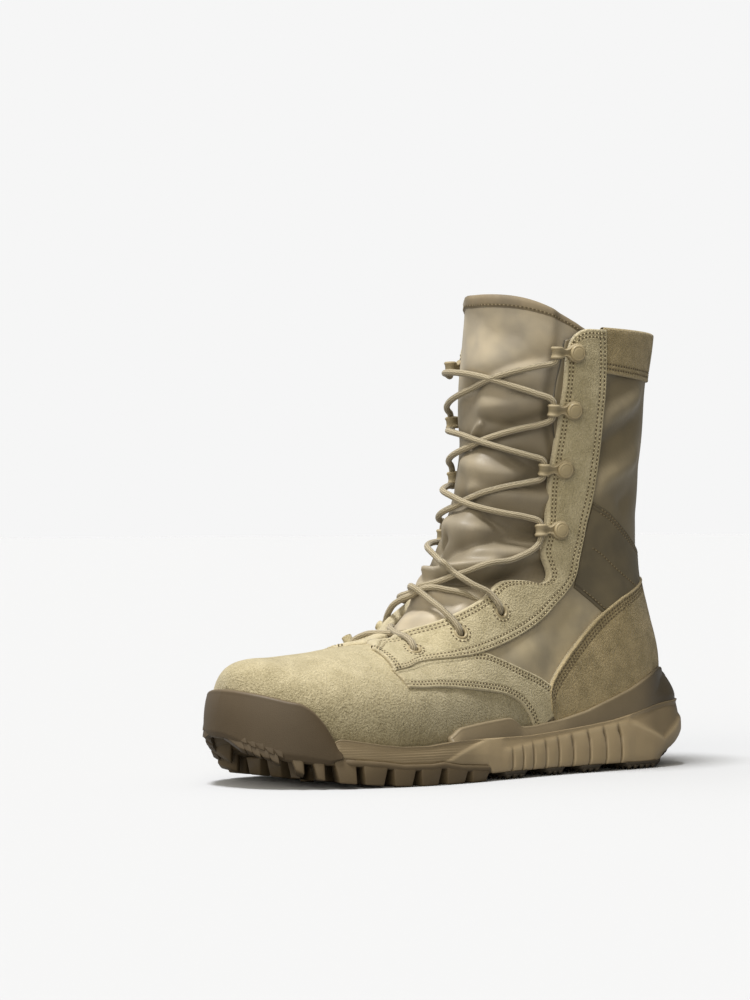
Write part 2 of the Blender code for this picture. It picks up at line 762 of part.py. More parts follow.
def make_insole():
    def profile(angle, side):
        bed = footbed(at_s(angle))
        inset = inset_to_upper(angle, side, bed + INSOLE_THICKNESS) + WALL + INSOLE_GAP
        bed = bed_under(angle, side, inset) + INSOLE_RISE
        return [(inset + 0.8, bed), (inset, bed + 1.0), (inset + 0.3, bed + INSOLE_THICKNESS)]

    ring_loft("insole", arc_stations(22), 6, half_rings(profile), "insole_fabric")


def around_heel(u, front_s):
    """Angle and side at u, from the lateral front end round the heel to the medial one."""
    return phase(front_s) * abs(1 - 2 * u), LATERAL if u <= 0.5 else MEDIAL


def around_toe(u, rear_s):
    rear = phase(rear_s)
    return rear + (math.pi - rear) * (1 - abs(1 - 2 * u)), LATERAL if u <= 0.5 else MEDIAL


def make_cradle():
    def locate(u, v, _, face):
        angle, side = around_heel(u, CRADLE_TOP[-1].s)
        s = at_s(angle)
        rim, top = along(SOLE_LEVELS, "rim", s) + GAP, along(CRADLE_TOP, "top", s)
        z = rim + (top - rim) * v
        inner = inset_to_upper(angle, side, z) - (OVERLAY_GAP + OVERLAY + 2 * GAP)
        return (*outline(angle, side, inner - CRADLE_WALL * (1 - face) * (1 - 0.25 * v)), z)

    slab("heel_cradle", 32, 3, locate, "cradle")


def make_bumper():
    def locate(u, v, _, face):
        angle, side = around_toe(u, BUMPER_REAR)
        s = at_s(angle)
        low, top = along(SOLE_LEVELS, "underside", s) + 0.2, along(BUMPER_TOP, "top", s)
        z = low + (top - low) * v
        inner = inset_to_upper(angle, side, max(z, footbed(s) + 2)) - CUP_GAP
        if z < footbed(s) + BUMPER_FOOT:
            inner = min(inner, BUMPER_WALL)
        outer = max(0.0, inner - BUMPER_WALL)
        return (*outline(angle, side, inner if face else outer), z)

    slab("toe_bumper", 24, 4, locate, "cradle")


Lug = namedtuple("Lug", "start end")
EDGE_LUGS = [Lug(176, 188), Lug(191, 205), Lug(209, 221), Lug(224, 237), Lug(241, 256), Lug(260, 274)]
TOE_LUGS = [Lug(278, 288), Lug(291.5, 299)]
EDGE_LUG_WIDTH = 17.0
MIDDLE_LUGS = [Lug(178, 190), Lug(195, 207), Lug(212, 224), Lug(229, 241), Lug(246, 257), Lug(262, 272)]
MIDDLE_LUG_HALF = 6.0
MIDDLE_LUG_PITCH = 17.0
LUG_DRAFT = 1.0
HEEL_PADS = {
    "heel": Lug(40, 66),
    "waist_rear": Lug(84, 100),
    "waist_front": Lug(112, 126),
    "arch": Lug(142, 160),
}
PAD_WIDTH = 24.0
REAR_PAD = Lug(9, 36)


def add_block(bm, corners):
    """A tapered block from its eight corners, top four then bottom four, each in the same order."""
    block = bmesh.ops.create_cube(bm, size=2.0)["verts"]
    order = {(-1, -1): 0, (1, -1): 1, (1, 1): 2, (-1, 1): 3}
    for vert in block:
        x, y, z = (round(c) for c in vert.co)
        vert.co = place(corners[order[x, y] + (0 if z > 0 else 4)])


def edge_block(bm, lug, side, width, top, bottom):
    """A lug or pad along the sole's edge, with heights top(s) and bottom(s)."""
    corners = []
    for level, draft in ((top, 0.0), (bottom, LUG_DRAFT)):
        for s, inset in (
            (lug.start + draft, 0.6 + draft),
            (lug.end - draft, 0.6 + draft),
            (lug.end - draft, width - draft),
            (lug.start + draft, width - draft),
        ):
            x, place_s = outline(phase(s), side, inset)
            corners.append((x, place_s, level(place_s)))
    add_block(bm, corners)


def slab_bottom(s):
    return ground(s) + LUG_DEPTH


def make_outsole():
    def slab_profile(angle, side):
        s = at_s(angle)
        top = along(SOLE_LEVELS, "underside", s) - GAP
        low = min(slab_bottom(s), top - 1.4)
        return [(2.0, low), (0.4, low + 0.8), (0.4, top)]

    stations = [angle for angle in foam_stations() if angle > phase(FOREFOOT_START) - 1e-6]
    outsole = ring_loft("outsole_forefoot", stations, 6, half_rings(slab_profile), "rubber")
    close_ends(outsole)

    bm = bmesh.new()

    def lug_top(s):
        return min(slab_bottom(s), along(SOLE_LEVELS, "underside", s) - GAP - 1.4) + 0.7

    for side in (LATERAL, MEDIAL):
        for lug in EDGE_LUGS:
            edge_block(bm, lug, side, EDGE_LUG_WIDTH, lug_top, ground)
        for lug in TOE_LUGS:
            edge_block(bm, lug, side, 0.6 * EDGE_LUG_WIDTH, lug_top, ground)
    for lug in MIDDLE_LUGS:
        middle = sum(outline(phase((lug.start + lug.end) / 2), side)[0] for side in (LATERAL, MEDIAL)) / 2
        for column in (-1, 0, 1):
            add_middle_lug(bm, lug, middle + column * MIDDLE_LUG_PITCH, lug_top)
    lugs = finish_mesh("forefoot_lugs", bm, "rubber")
    set_aside(lugs)
    cut(outsole, lugs, "UNION")


def add_middle_lug(bm, lug, x, lug_top):
    corners = []
    for level, draft in ((lug_top, 0.0), (ground, LUG_DRAFT)):
        half = MIDDLE_LUG_HALF - draft
        ends = (lug.start + draft, lug.end - draft)
        corners += [(x + half, ends[0], level(ends[0])), (x + half, ends[1], level(ends[1]))]
        corners += [(x - half, ends[1], level(ends[1])), (x - half, ends[0], level(ends[0]))]
    add_block(bm, corners)


def close_ends(obj):
    """Fill a loft's open end with a flat face."""
    bm = bmesh.new()
    bm.from_mesh(obj.data)
    bmesh.ops.holes_fill(bm, edges=[edge for edge in bm.edges if edge.is_boundary], sides=0)
    bmesh.ops.recalc_face_normals(bm, faces=bm.faces)
    bm.to_mesh(obj.data)
    bm.free()


def make_pads():
    def top(s):
        return along(SOLE_LEVELS, "underside", s) - GAP

    for word, side in SIDES.items():
        for name, pad in HEEL_PADS.items():
            bm = bmesh.new()
            edge_block(bm, pad, side, PAD_WIDTH if name == "heel" else 0.7 * PAD_WIDTH, top, ground)
            finish_mesh(f"{name}_pad_{word}", bm, "rubber")

    def rear_profile(angle, side):
        s = at_s(angle)
        return [(1.5, top(s) - 3.4), (1.5, top(s))]

    start, end = phase(REAR_PAD.start), phase(REAR_PAD.end)
    stations = [start + (end - start) * i / 5 for i in range(6)]
    rear = ring_loft("heel_rear_pad", stations, 4, half_rings(rear_profile), "rubber")
    close_ends(rear)


# Lacing


def facing_frame(spot, side, lift):
    """Place on the facing, with the directions towards the throat and outwards."""
    k, t = from_side(spot.s, spot.z)
    outward = (place(skin(k, t, side, 10.0)) - place(skin(k, t, side))).normalized()
    forward = place(side_skin(spot.s + 1, spot.z, side)) - place(skin(k, t, side))
    forward = (forward - outward * forward.dot(outward)).normalized()
    return place(skin(k, t, side, lift)), forward, outward


def axes_matrix(origin, x_axis, y_axis):
    matrix = Matrix((x_axis, y_axis, x_axis.cross(y_axis))).transposed().to_4x4()
    matrix.translation = origin
    return matrix


FACING_TOP = EYESTAY_GAP + OVERLAY  # outer face of the eyestay above the upper


def hardware_matrix(spot, side, lift):
    """Turned pieces stand on the facing along their own z."""
    origin, forward, outward = facing_frame(spot, side, lift)
    return axes_matrix(origin, forward, outward.cross(forward))


def make_holes():
    bm = bmesh.new()
    for side in SIDES.values():
        for spot in EYELETS:
            matrix = hardware_matrix(spot, side, 0.0)
            bmesh.ops.create_cone(
                bm,
                cap_ends=True,
                segments=10,
                radius1=HOLE_RADIUS * MM,
                radius2=HOLE_RADIUS * MM,
                depth=12 * MM,
                matrix=matrix,
            )
    holes = finish_mesh("eyelet_holes", bm, "rubber")
    set_aside(holes)
    return holes


FLANGE = FACING_TOP + 0.7
EYELET_PROFILE = [
    (2.1, -1.4),
    (2.65, -1.4),
    (2.65, FLANGE),
    (4.6, FLANGE),
    (4.0, FLANGE + 0.8),
    (2.1, FLANGE + 0.4),
]


def make_eyelet(name, matrix):
    bm = bmesh.new()
    rim = [bm.verts.new((r * MM, 0, h * MM)) for r, h in EYELET_PROFILE]
    for i, vert in enumerate(rim):
        bm.edges.new((vert, rim[(i + 1) % len(rim)]))
    bmesh.ops.spin(
        bm,
        geom=bm.edges[:],
        axis=(0, 0, 1),
        cent=(0, 0, 0),
        steps=8,
        angle=2 * math.pi,
        use_merge=True,
    )
    finish_mesh(name, bm, "painted_metal", matrix)


def make_disc(name, matrix):
    bm = bmesh.new()
    bmesh.ops.create_cone(
        bm,
        cap_ends=True,
        segments=10,
        radius1=DISC_RADIUS * MM,
        radius2=0.86 * DISC_RADIUS * MM,
        depth=DISC_HEIGHT * MM,
    )
    finish_mesh(name, bm, "painted_metal", matrix)


def make_loop(name, matrix):
    """A webbing tunnel for the lace on a flat strap: a keyhole outline, given the strap's width."""
    curve = bpy.data.curves.new(name, "CURVE")
    curve.dimensions = "2D"
    curve.fill_mode = "BOTH"
    curve.extrude = LOOP_WIDTH / 2 * MM
    radius = LOOP_BORE + LOOP_SKIN
    joint = math.asin(STRAP / 2 / radius)
    tunnel = np.linspace(math.pi + joint, 3 * math.pi - joint, 9)
    rim = [(-DISC_RADIUS, STRAP / 2), (-DISC_RADIUS, -STRAP / 2)]
    rim += [(LOOP_REACH + radius * math.cos(a), radius * math.sin(a)) for a in tunnel]
    bore = np.linspace(0, 2 * math.pi, 8, endpoint=False)
    hole = [(LOOP_REACH + LOOP_BORE * math.cos(a), LOOP_BORE * math.sin(a)) for a in bore]
    for points in (rim, hole):
        add_spline(curve, [Vector((x, y, 0)) * MM for x, y in points], cyclic=True)
    add_object(name, curve, "webbing", matrix)


def add_spline(curve, points, cyclic=False):
    spline = curve.splines.new("POLY")
    spline.points.add(len(points) - 1)
    spline.use_cyclic_u = cyclic
    for point, co in zip(spline.points, points):
        point.co = (*co, 1)


STRAP_LIFT = FACING_TOP + GAP + STRAP / 2


def make_hardware():
    for word, side in SIDES.items():
        for i, spot in enumerate(EYELETS, 1):
            make_eyelet(f"eyelet_{word}_{i}", hardware_matrix(spot, side, 0.0))
        for i, spot in enumerate(DISCS, 1):
            loop = axes_matrix(*facing_frame(spot, side, STRAP_LIFT))
            make_loop(f"lace_loop_{word}_{i}", loop)
            lift = FACING_TOP + 2 * GAP + STRAP + DISC_HEIGHT / 2
            make_disc(f"loop_disc_{word}_{i}", hardware_matrix(spot, side, lift))


LOOP_AHEAD = 14.0  # from a disc to its loop's tunnel, seen from the side
LACE_LIFT = 6.6  # lace above the upper at loops and eyelets
LACE_OVER_TONGUE = 1.0  # and where it crosses the tongue's middle
LACE_OVER_FACING = 5.2
CROSSING = (0.2, 0.4, 0.6, 0.8)
TUNNEL_RUN = 8.0


def lace_across(start, stop, middle):
    """Points between two places (row, share of girth, side), over the front of the tongue."""
    points = []
    from_ridge = [side * (1 - t) for _, t, side in (start, stop)]
    for w in CROSSING:
        k = start[0] + (stop[0] - start[0]) * w
        girth = from_ridge[0] + (from_ridge[1] - from_ridge[0]) * w
        lift = middle + (LACE_LIFT - middle) * abs(2 * w - 1) ** 1.2
        points.append(place(skin(k, 1 - abs(girth), LATERAL if girth >= 0 else MEDIAL, lift)))
    return points


def lace_strand(side):
    """One half of the lace, down through the loops of alternate sides to the bottom eyelet."""
    points, last = [], None
    for i, spot in enumerate(DISCS + EYELETS):
        in_loop = i < len(DISCS)
        k, t = from_side(spot.s + LOOP_AHEAD * in_loop, spot.z)
        origin, forward, outward = facing_frame(spot, side, STRAP_LIFT)
        here = (k, t, side)
        if last:
            points += lace_across(last, here, LACE_OVER_TONGUE if in_loop else LACE_OVER_FACING)
        if in_loop:
            up = forward.cross(outward) * side * TUNNEL_RUN * MM
            centre = origin + forward * LOOP_REACH * MM
            points += [centre + up, centre - up]
        else:
            points.append(place(skin(k, t, side, LACE_LIFT)))
        last, side = here, -side
    return points


def lace_tube(name, points):
    """A round tube along points, as a mesh that can be joined to others."""
    curve = bpy.data.curves.new(name, "CURVE")
    curve.dimensions = "3D"
    curve.bevel_depth = LACE_RADIUS * MM
    curve.bevel_resolution = 1
    curve.use_fill_caps = True
    add_spline(curve, points)
    route = bpy.data.objects.new(name, curve)
    bm = bmesh.new()
    mesh = route.to_mesh()
    bm.from_mesh(mesh)
    route.to_mesh_clear()
    bpy.data.objects.remove(route)
    return finish_mesh(name, bm, "lace_cord")


def make_lace():
    lace = lace_tube("lace", lace_strand(LATERAL))
    other = lace_tube("lace_second_strand", lace_strand(MEDIAL))
    k, t = from_side(EYELETS[-1].s, EYELETS[-1].z)
    ends = [place(skin(k, t, side, LACE_LIFT)) for side in (LATERAL, MEDIAL)]
    middle = lace_across((k, t, LATERAL), (k, t, MEDIAL), LACE_OVER_FACING)
    bar = lace_tube("lace_bar", [ends[0], *middle, ends[1]])
    for piece in (other, bar):
        set_aside(piece)
        cut(lace, piece, "UNION")


def main():
    for obj in list(bpy.data.objects):
        bpy.data.objects.remove(obj)
    for name in ("field_boot", "cutters"):
        bpy.context.scene.collection.children.link(bpy.data.collections.new(name))
    holes = make_holes()
    make_upper(holes)
    make_tongue()
    make_overlays(holes)
    make_insole()
    make_midsole()
    make_cradle()
    make_bumper()
    make_outsole()
    make_pads()
    make_hardware()
    make_lace()


if __name__ == "__main__":
    main()
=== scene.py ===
import math

import bmesh
import bpy
import numpy as np
from mathutils import Matrix, Vector


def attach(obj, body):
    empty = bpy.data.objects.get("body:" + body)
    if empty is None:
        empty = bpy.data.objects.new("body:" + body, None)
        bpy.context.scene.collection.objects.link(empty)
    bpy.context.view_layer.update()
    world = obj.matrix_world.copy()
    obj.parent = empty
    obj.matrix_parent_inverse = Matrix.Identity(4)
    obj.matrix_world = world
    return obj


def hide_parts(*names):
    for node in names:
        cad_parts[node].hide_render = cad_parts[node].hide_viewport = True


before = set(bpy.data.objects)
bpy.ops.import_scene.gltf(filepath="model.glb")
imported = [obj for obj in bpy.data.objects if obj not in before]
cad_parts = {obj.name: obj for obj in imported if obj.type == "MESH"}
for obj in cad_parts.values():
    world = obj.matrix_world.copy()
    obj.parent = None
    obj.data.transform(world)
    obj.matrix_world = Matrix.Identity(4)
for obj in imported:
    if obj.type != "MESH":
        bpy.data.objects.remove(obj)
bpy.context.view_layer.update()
lateral, medial = 1, -1
sideNames = {"lateral": lateral, "medial": medial}

# The last: each row is a section from its back or sole end to its ridge, seen from the side.
backS, backZ, frontS, frontZ, midX, lateralHalf, medialHalf, widestAt, footShare = range(9)
last = {
    "heelY": 152.75,
    "midline": 0.54,
    "wall": 2.2,
    "ridgePower": 2.2,
    "columnSplit": 0.38,
    "heelRow": 17,
    "collarRow": 27,
    "fanStep": 0.05,
    "rows": [
        (299.0, 31, 299.0, 48.5, -8.0, 0.0, 0.0, 0.30, 1.00),
        (297.5, 29.5, 296.5, 57.5, -8.0, 12.5, 12.0, 0.30, 1.00),
        (292.0, 27.5, 290.5, 62, -7.5, 24.0, 22.5, 0.30, 0.99),
        (282.0, 25, 280.5, 64.3, -6.5, 33.5, 31.5, 0.30, 0.98),
        (268.0, 22, 266.5, 65, -5.0, 41.0, 38.5, 0.28, 0.97),
        (252.0, 19.5, 250.5, 66.5, -3.0, 46.0, 44.0, 0.26, 0.96),
        (235.0, 17.7, 234.5, 68, -1.5, 48.5, 46.5, 0.24, 0.96),
        (217.0, 17, 219.0, 69.5, -0.5, 49.5, 46.0, 0.22, 0.96),
        (198.0, 17, 206.0, 71.5, 0.0, 48.5, 43.5, 0.20, 0.96),
        (177.0, 17.5, 195.0, 76, 0.0, 46.0, 40.0, 0.20, 0.96),
        (154.0, 18.5, 185.5, 85, 0.0, 43.5, 37.5, 0.20, 0.95),
        (129.0, 19.5, 177.0, 97, 0.0, 41.0, 36.0, 0.22, 0.94),
        (102.0, 21, 169.0, 110, 0.0, 39.5, 36.5, 0.25, 0.93),
        (76.0, 22.5, 162.0, 122, 0.0, 38.5, 37.0, 0.28, 0.92),
        (51.0, 24, 156.5, 134, 0.0, 38.0, 37.0, 0.32, 0.88),
        (31.0, 25.5, 152.5, 145, 0.0, 38.0, 37.0, 0.35, 0.70),
        (19.0, 29, 149.5, 155, 0.0, 38.0, 37.0, 0.38, 0.42),
        (14.5, 37, 147.5, 164, 0.0, 38.0, 37.0, 0.40, 0.0),
        (15.0, 52, 146.0, 172, 0.0, 37.5, 36.5, 0.41, 0.0),
        (20.4, 70, 145.0, 180, 0.0, 36.8, 36.0, 0.42, 0.0),
        (27.0, 90, 144.3, 188, 0.0, 37.2, 36.6, 0.44, 0.0),
        (30.2, 110, 144.0, 195, 0.0, 38.8, 38.0, 0.46, 0.0),
        (30.6, 132, 143.7, 202, 0.0, 40.8, 39.4, 0.48, 0.0),
        (29.8, 155, 143.5, 209, 0.0, 42.6, 41.0, 0.49, 0.0),
        (27.6, 179, 143.2, 216, 0.0, 44.2, 42.6, 0.50, 0.0),
        (25.8, 202, 143.0, 223, 0.0, 44.9, 43.7, 0.50, 0.0),
        (23.0, 220, 143.0, 230, 0.0, 45.5, 44.5, 0.50, 0.0),
        (21.0, 234, 143.0, 237, 0.0, 46.0, 45.0, 0.50, 0.0),
        (20.0, 246, 143.0, 247, 0.0, 46.0, 45.0, 0.50, 0.0),
        (20.0, 264, 143.5, 264, 0.0, 46.0, 45.0, 0.50, 0.0),
    ],
    # row and half width of the opening in front
    "throat": [
        (7.8, 0.0), (8.3, 8.0), (9.0, 14.0), (10.0, 22.5), (11.0, 28.0), (12.0, 30.5), (13.0, 32.5),
        (13.8, 34.0), (15.0, 34.0), (17.0, 33.5), (19.0, 34.0), (22.0, 36.5), (25.0, 40.5), (27.0, 42.0),
    ],
}
lastRows = np.array(last["rows"], float)
lastSlopes = np.gradient(lastRows, axis=0)
topRow = len(lastRows) - 1
mm = 0.001


def toFrame(points):
    points = np.asarray(points, float)
    x, s, z = points[..., 0], points[..., 1], points[..., 2]
    return np.stack([x - last["midline"], last["heelY"] - s, z], -1) * mm


def fromFrame(points):
    points = np.asarray(points, float) / mm
    x, y, z = points[..., 0], points[..., 1], points[..., 2]
    return np.stack([x + last["midline"], last["heelY"] - y, z], -1)


def smoothStep(x):
    x = np.clip(x, 0, 1)
    return x * x * (3 - 2 * x)


def rise(x, start, width):
    return smoothStep((x - start) / width)


def fall(x, end, width):
    return smoothStep((end - x) / width)


def bell(x, width, power=2):
    return np.exp(-((x / width) ** power))


def unit(vectors):
    return vectors / np.linalg.norm(vectors, axis=-1, keepdims=True)


def runLength(points, axis=0):
    # distance along a line, or along a lattice's rows or columns, from its first point
    steps = np.linalg.norm(np.diff(points, axis=axis), axis=-1)
    return np.concatenate([np.zeros_like(np.take(steps, [0], axis)), np.cumsum(steps, axis)], axis)


def sample(points, length, at):
    return np.stack([np.interp(at, length, column) for column in points.T], 1)


def smoothed(line, rounds):
    for _ in range(rounds):
        line[1:-1] = (line[:-2] + 2 * line[1:-1] + line[2:]) / 4
    return line


def table(rows, x):
    return np.interp(x, *zip(*rows))


def hermite(t, span, ys, slopes, i):
    start = (1 + 2 * t) * (1 - t) ** 2 * ys[i] + t * (1 - t) ** 2 * span * slopes[i]
    end = t * t * (3 - 2 * t) * ys[i + 1] - t * t * (1 - t) * span * slopes[i + 1]
    return start + end


def cubicAt(xs, ys, x):
    xs, ys, x = (np.asarray(a, float) for a in (xs, ys, x))
    i = np.clip(np.searchsorted(xs, x, side="right") - 1, 0, len(xs) - 2)
    span = xs[i + 1] - xs[i]
    return hermite((x - xs[i]) / span, span, ys, np.gradient(ys, xs), i)


def sectionAt(k):
    k = np.asarray(k, float)
    i = np.clip(np.floor(k).astype(int), 0, topRow - 1)
    return hermite((k - i)[..., None], 1, lastRows, lastSlopes, i)


def widthShare(sec, a):
    widest, foot, power = sec[..., widestAt], np.clip(sec[..., footShare], 0, 1), last["ridgePower"]
    above = np.clip((a - widest) / (1 - widest), 0, 1)
    below = np.clip((widest - a) / widest, 0, 1)
    ridge = np.maximum(0, 1 - above**power) ** (1 / power)
    heel = np.sqrt(np.maximum(0, 1 - (1 - foot**2) * below**2))
    return np.where(a >= widest, ridge, heel)


def halfWidth(sec, side):
    half = np.where(np.asarray(side) > 0, sec[..., lateralHalf], sec[..., medialHalf])
    return np.maximum(0, half)


def reachAt(sec, t):
    # share of a section's line at a girth: 0 at its back or sole end, 1 at the ridge
    split, widest, foot = last["columnSplit"], sec[..., widestAt], np.clip(sec[..., footShare], 0, 1)
    u = np.clip(1 - t / split, 0, 1)
    low = widest * (1 - (foot * u + (1 - foot) * np.sin(u * math.pi / 2)))
    w = np.clip((t - split) / (1 - split), 0, 1)
    high = widest + (1 - widest) * np.sin(w * math.pi / 2) ** (2 / last["ridgePower"])
    return np.where(t < split, low, high)


def lineAt(sec, a):
    s = sec[..., backS] + (sec[..., frontS] - sec[..., backS]) * a
    return s, sec[..., backZ] + (sec[..., frontZ] - sec[..., backZ]) * a


def bisect(rising, target, low, high, rounds=30):
    low, high = np.array(low, float), np.array(high, float)
    for _ in range(rounds):
        middle = (low + high) / 2
        less = rising(middle) < target
        low, high = np.where(less, middle, low), np.where(less, high, middle)
    return (low + high) / 2


def onSection(k, t, side):
    sec = sectionAt(k)
    a = reachAt(sec, t)
    x = sec[..., midX] + side * halfWidth(sec, side) * widthShare(sec, a)
    return np.stack([x, *lineAt(sec, a)], -1)


def skin(k, t, side, lift=0.0):
    # point of the upper's outside, raised along its normal
    k, t, side, lift = (np.array(a, float) for a in np.broadcast_arrays(k, t, side, lift))
    step = 0.01
    k0, t0, t1 = np.maximum(2 * step, k - step), np.maximum(0, t - step), np.minimum(1, t + step)
    alongK = onSection(k0 + 2 * step, t, side) - onSection(k0, t, side)
    alongT = onSection(k, t1, side) - onSection(k, t0, side)
    normal = np.cross(alongT, alongK) * side[..., None]
    raised = onSection(k, t, side) + unit(normal) * lift[..., None]
    sec = sectionAt(k)
    onRidge = widthShare(sec, reachAt(sec, t)) < 1e-6
    raised[..., 0] = np.where(onRidge, sec[..., midX], raised[..., 0])
    return raised


def lieOn(k, t, side, lift):
    # points raised from the last, and the way up there
    points = skin(k, t, side, lift)
    return points, skin(k, t, side, lift + 1.0) - points


fan = np.arange(0, topRow + 0.001, last["fanStep"])
fanBack = sectionAt(fan)[:, backS:frontS]
fanRun = sectionAt(fan)[:, frontS:midX] - fanBack


def sideRow(s, z):
    # row of the last, and place along its line, of a point seen from the side
    s, z = np.broadcast_arrays(np.asarray(s, float), np.asarray(z, float))
    rows, shares, chunk = [], [], 3000
    for part in range(0, s.size, chunk):
        p, q = (value.ravel()[part : part + chunk, None] for value in (s, z))
        ahead = fanRun[:, 0] * (q - fanBack[:, 1]) - fanRun[:, 1] * (p - fanBack[:, 0])
        below = ahead < 0
        i = np.maximum(1, np.where(below.any(1), below.argmax(1), len(fan) - 1))
        n = np.arange(len(i))
        before, after = ahead[n, i - 1], ahead[n, i]
        k = fan[i - 1] + (fan[i] - fan[i - 1]) * before / (before - after)
        sec = sectionAt(np.clip(k, 0, topRow))
        runS, runZ = sec[:, frontS] - sec[:, backS], sec[:, frontZ] - sec[:, backZ]
        along = (p[:, 0] - sec[:, backS]) * runS + (q[:, 0] - sec[:, backZ]) * runZ
        rows.append(k)
        shares.append(along / (runS**2 + runZ**2))
    return np.concatenate(rows).reshape(s.shape), np.concatenate(shares).reshape(s.shape)


def fromSide(s, z):
    # row of the last and girth of a point seen from the side
    k, a = sideRow(s, z)
    k = np.clip(k, 0, topRow)
    sec = sectionAt(k)
    return k, bisect(lambda t: reachAt(sec, t), np.clip(a, 0, 1), np.zeros(k.shape), np.ones(k.shape))


def sideSkin(s, z, side, lift=0.0):
    return skin(*fromSide(s, z), side, lift)


def girthFor(k, side, away, rounds=22):
    # girth where a row of the last is so far from its ridge
    sec = sectionAt(k)
    half = halfWidth(sec, side)
    start = np.full(np.shape(k), last["columnSplit"])
    nearer = lambda t: -half * widthShare(sec, reachAt(sec, t))
    return bisect(nearer, -away, start, np.ones(np.shape(k)), rounds)


def throatReach(k, side):
    rows, gaps = zip(*last["throat"])
    gap = cubicAt(rows, gaps, np.minimum(k, rows[-1]))
    return np.where((np.asarray(k) <= rows[0]) | (gap <= 0), 1.0, girthFor(k, side, gap, 30))


def evenRows(first, end, count):
    # rows of the last about evenly far apart along the boot
    lines = (fanBack, fanBack + 0.5 * fanRun, fanBack + fanRun)
    length = sum(runLength(line) for line in lines)
    ends = np.interp([first, end], fan, length)
    return np.interp(np.linspace(*ends, count), length, fan)


def foldDepth(p, q, folds):
    # soft ridges and sharper troughs: each runs p0 q0 to p1 q1 with a width and a height
    total = np.zeros(np.shape(p))
    for p0, q0, p1, q1, width, height in folds:
        run = (p1 - p0) ** 2 + (q1 - q0) ** 2 + 1e-9
        along = np.clip(((p - p0) * (p1 - p0) + (q - q0) * (q1 - q0)) / run, 0, 1)
        away = (p - p0 - along * (p1 - p0)) ** 2 + (q - q0 - along * (q1 - q0)) ** 2
        total += height * bell(away, width**2, 1.0 if height > 0 else 0.7)
    return total


def ripple(points, size, seed):
    # smooth unevenness from a few crossed waves, between about -1 and 1
    rng = np.random.default_rng(seed)
    total = np.zeros(points.shape[:-1])
    for _ in range(6):
        direction = rng.normal(size=3)
        direction /= np.linalg.norm(direction)
        wave = 2 * math.pi / (size * rng.uniform(0.7, 1.5))
        total += np.sin(points @ direction * wave + rng.uniform(0, 6.28))
    return total / 3


# Materials
def addNode(tree, kind, inputs=(), **settings):
    node = tree.nodes.new(kind)
    for name, value in settings.items():
        setattr(node, name, value)
    for name, value in dict(inputs).items():
        feed(tree, node.inputs[name], value)
    return node


def feed(tree, socket, value):
    # a colour, a number or another node's output into a socket
    if isinstance(value, tuple):
        socket.default_value = (*value, 1)
    elif isinstance(value, (int, float)):
        socket.default_value = value
    else:
        tree.links.new(value, socket)


def newGroup(name, numbers, gives):
    # shader group: a vector and some numbers in, numbers out
    group = bpy.data.node_groups.new(name, "ShaderNodeTree")
    group.interface.new_socket("Vector", in_out="INPUT", socket_type="NodeSocketVector")
    for label, value in numbers.items():
        socket = group.interface.new_socket(label, in_out="INPUT", socket_type="NodeSocketFloat")
        socket.default_value = value
    for label in gives:
        group.interface.new_socket(label, in_out="OUTPUT", socket_type="NodeSocketFloat")
    return group, addNode(group, "NodeGroupInput").outputs, addNode(group, "NodeGroupOutput").inputs


def mathOf(tree, operation, *values, clamp=False):
    node = addNode(tree, "ShaderNodeMath", operation=operation, use_clamp=clamp)
    for socket, value in zip(node.inputs, values):
        feed(tree, socket, value)
    return node.outputs[0]


def scaled(tree, value, share, plus=0.0, clamp=False):
    return mathOf(tree, "MULTIPLY_ADD", value, share, plus, clamp=clamp)


def mixColours(tree, factor, a, b, blend="MIX"):
    node = addNode(tree, "ShaderNodeMix", data_type="RGBA", blend_type=blend)
    for i, value in ((0, factor), (6, a), (7, b)):
        feed(tree, node.inputs[i], value)
    return node.outputs[2]


def noiseOf(tree, vector, scale, detail=3.0, rough=0.55):
    inputs = {"Vector": vector, "Scale": scale, "Detail": detail, "Roughness": rough}
    return addNode(tree, "ShaderNodeTexNoise", inputs).outputs[0]


def spread(tree, value, low, high, start=0.0, end=1.0):
    inputs = {"Value": value, "From Min": low, "From Max": high, "To Min": start, "To Max": end}
    return addNode(tree, "ShaderNodeMapRange", inputs).outputs[0]


def makeNapGroup():
    # nap of the suede: cloudy brushed tone, pebbles and short fibres
    numbers = {"Pebble": 900.0, "Fibre": 1700.0}
    group, takes, gives = newGroup("napGrain", numbers, ("Cloud", "Speck", "Height"))
    cloud = noiseOf(group, takes["Vector"], 95.0, 4.0, 0.65)
    pebble, fibre = (noiseOf(group, takes["Vector"], takes[name], 2.0, 0.6) for name in numbers)
    speck = scaled(group, pebble, 0.62, scaled(group, fibre, 0.38))
    feed(group, gives["Cloud"], spread(group, cloud, 0.33, 0.67))
    feed(group, gives["Speck"], spread(group, speck, 0.34, 0.62))
    feed(group, gives["Height"], scaled(group, pebble, 0.75, scaled(group, fibre, 0.25)))
    return group


def makeWeaveGroup():
    # plain weave on the piece's own map, whose unit is a millimetre
    group, takes, gives = newGroup("plainWeave", {"Pitch": 0.55}, ("Height", "Yarn"))
    parts = addNode(group, "ShaderNodeSeparateXYZ", {0: takes["Vector"]}).outputs
    turns = [mathOf(group, "DIVIDE", scaled(group, parts[i], math.pi), takes["Pitch"]) for i in (0, 1)]
    both = mathOf(group, "MULTIPLY", *(mathOf(group, "SINE", turn) for turn in turns))
    feed(group, gives["Height"], scaled(group, both, 0.5, 0.5))
    feed(group, gives["Yarn"], mathOf(group, "ABSOLUTE", both))
    return group


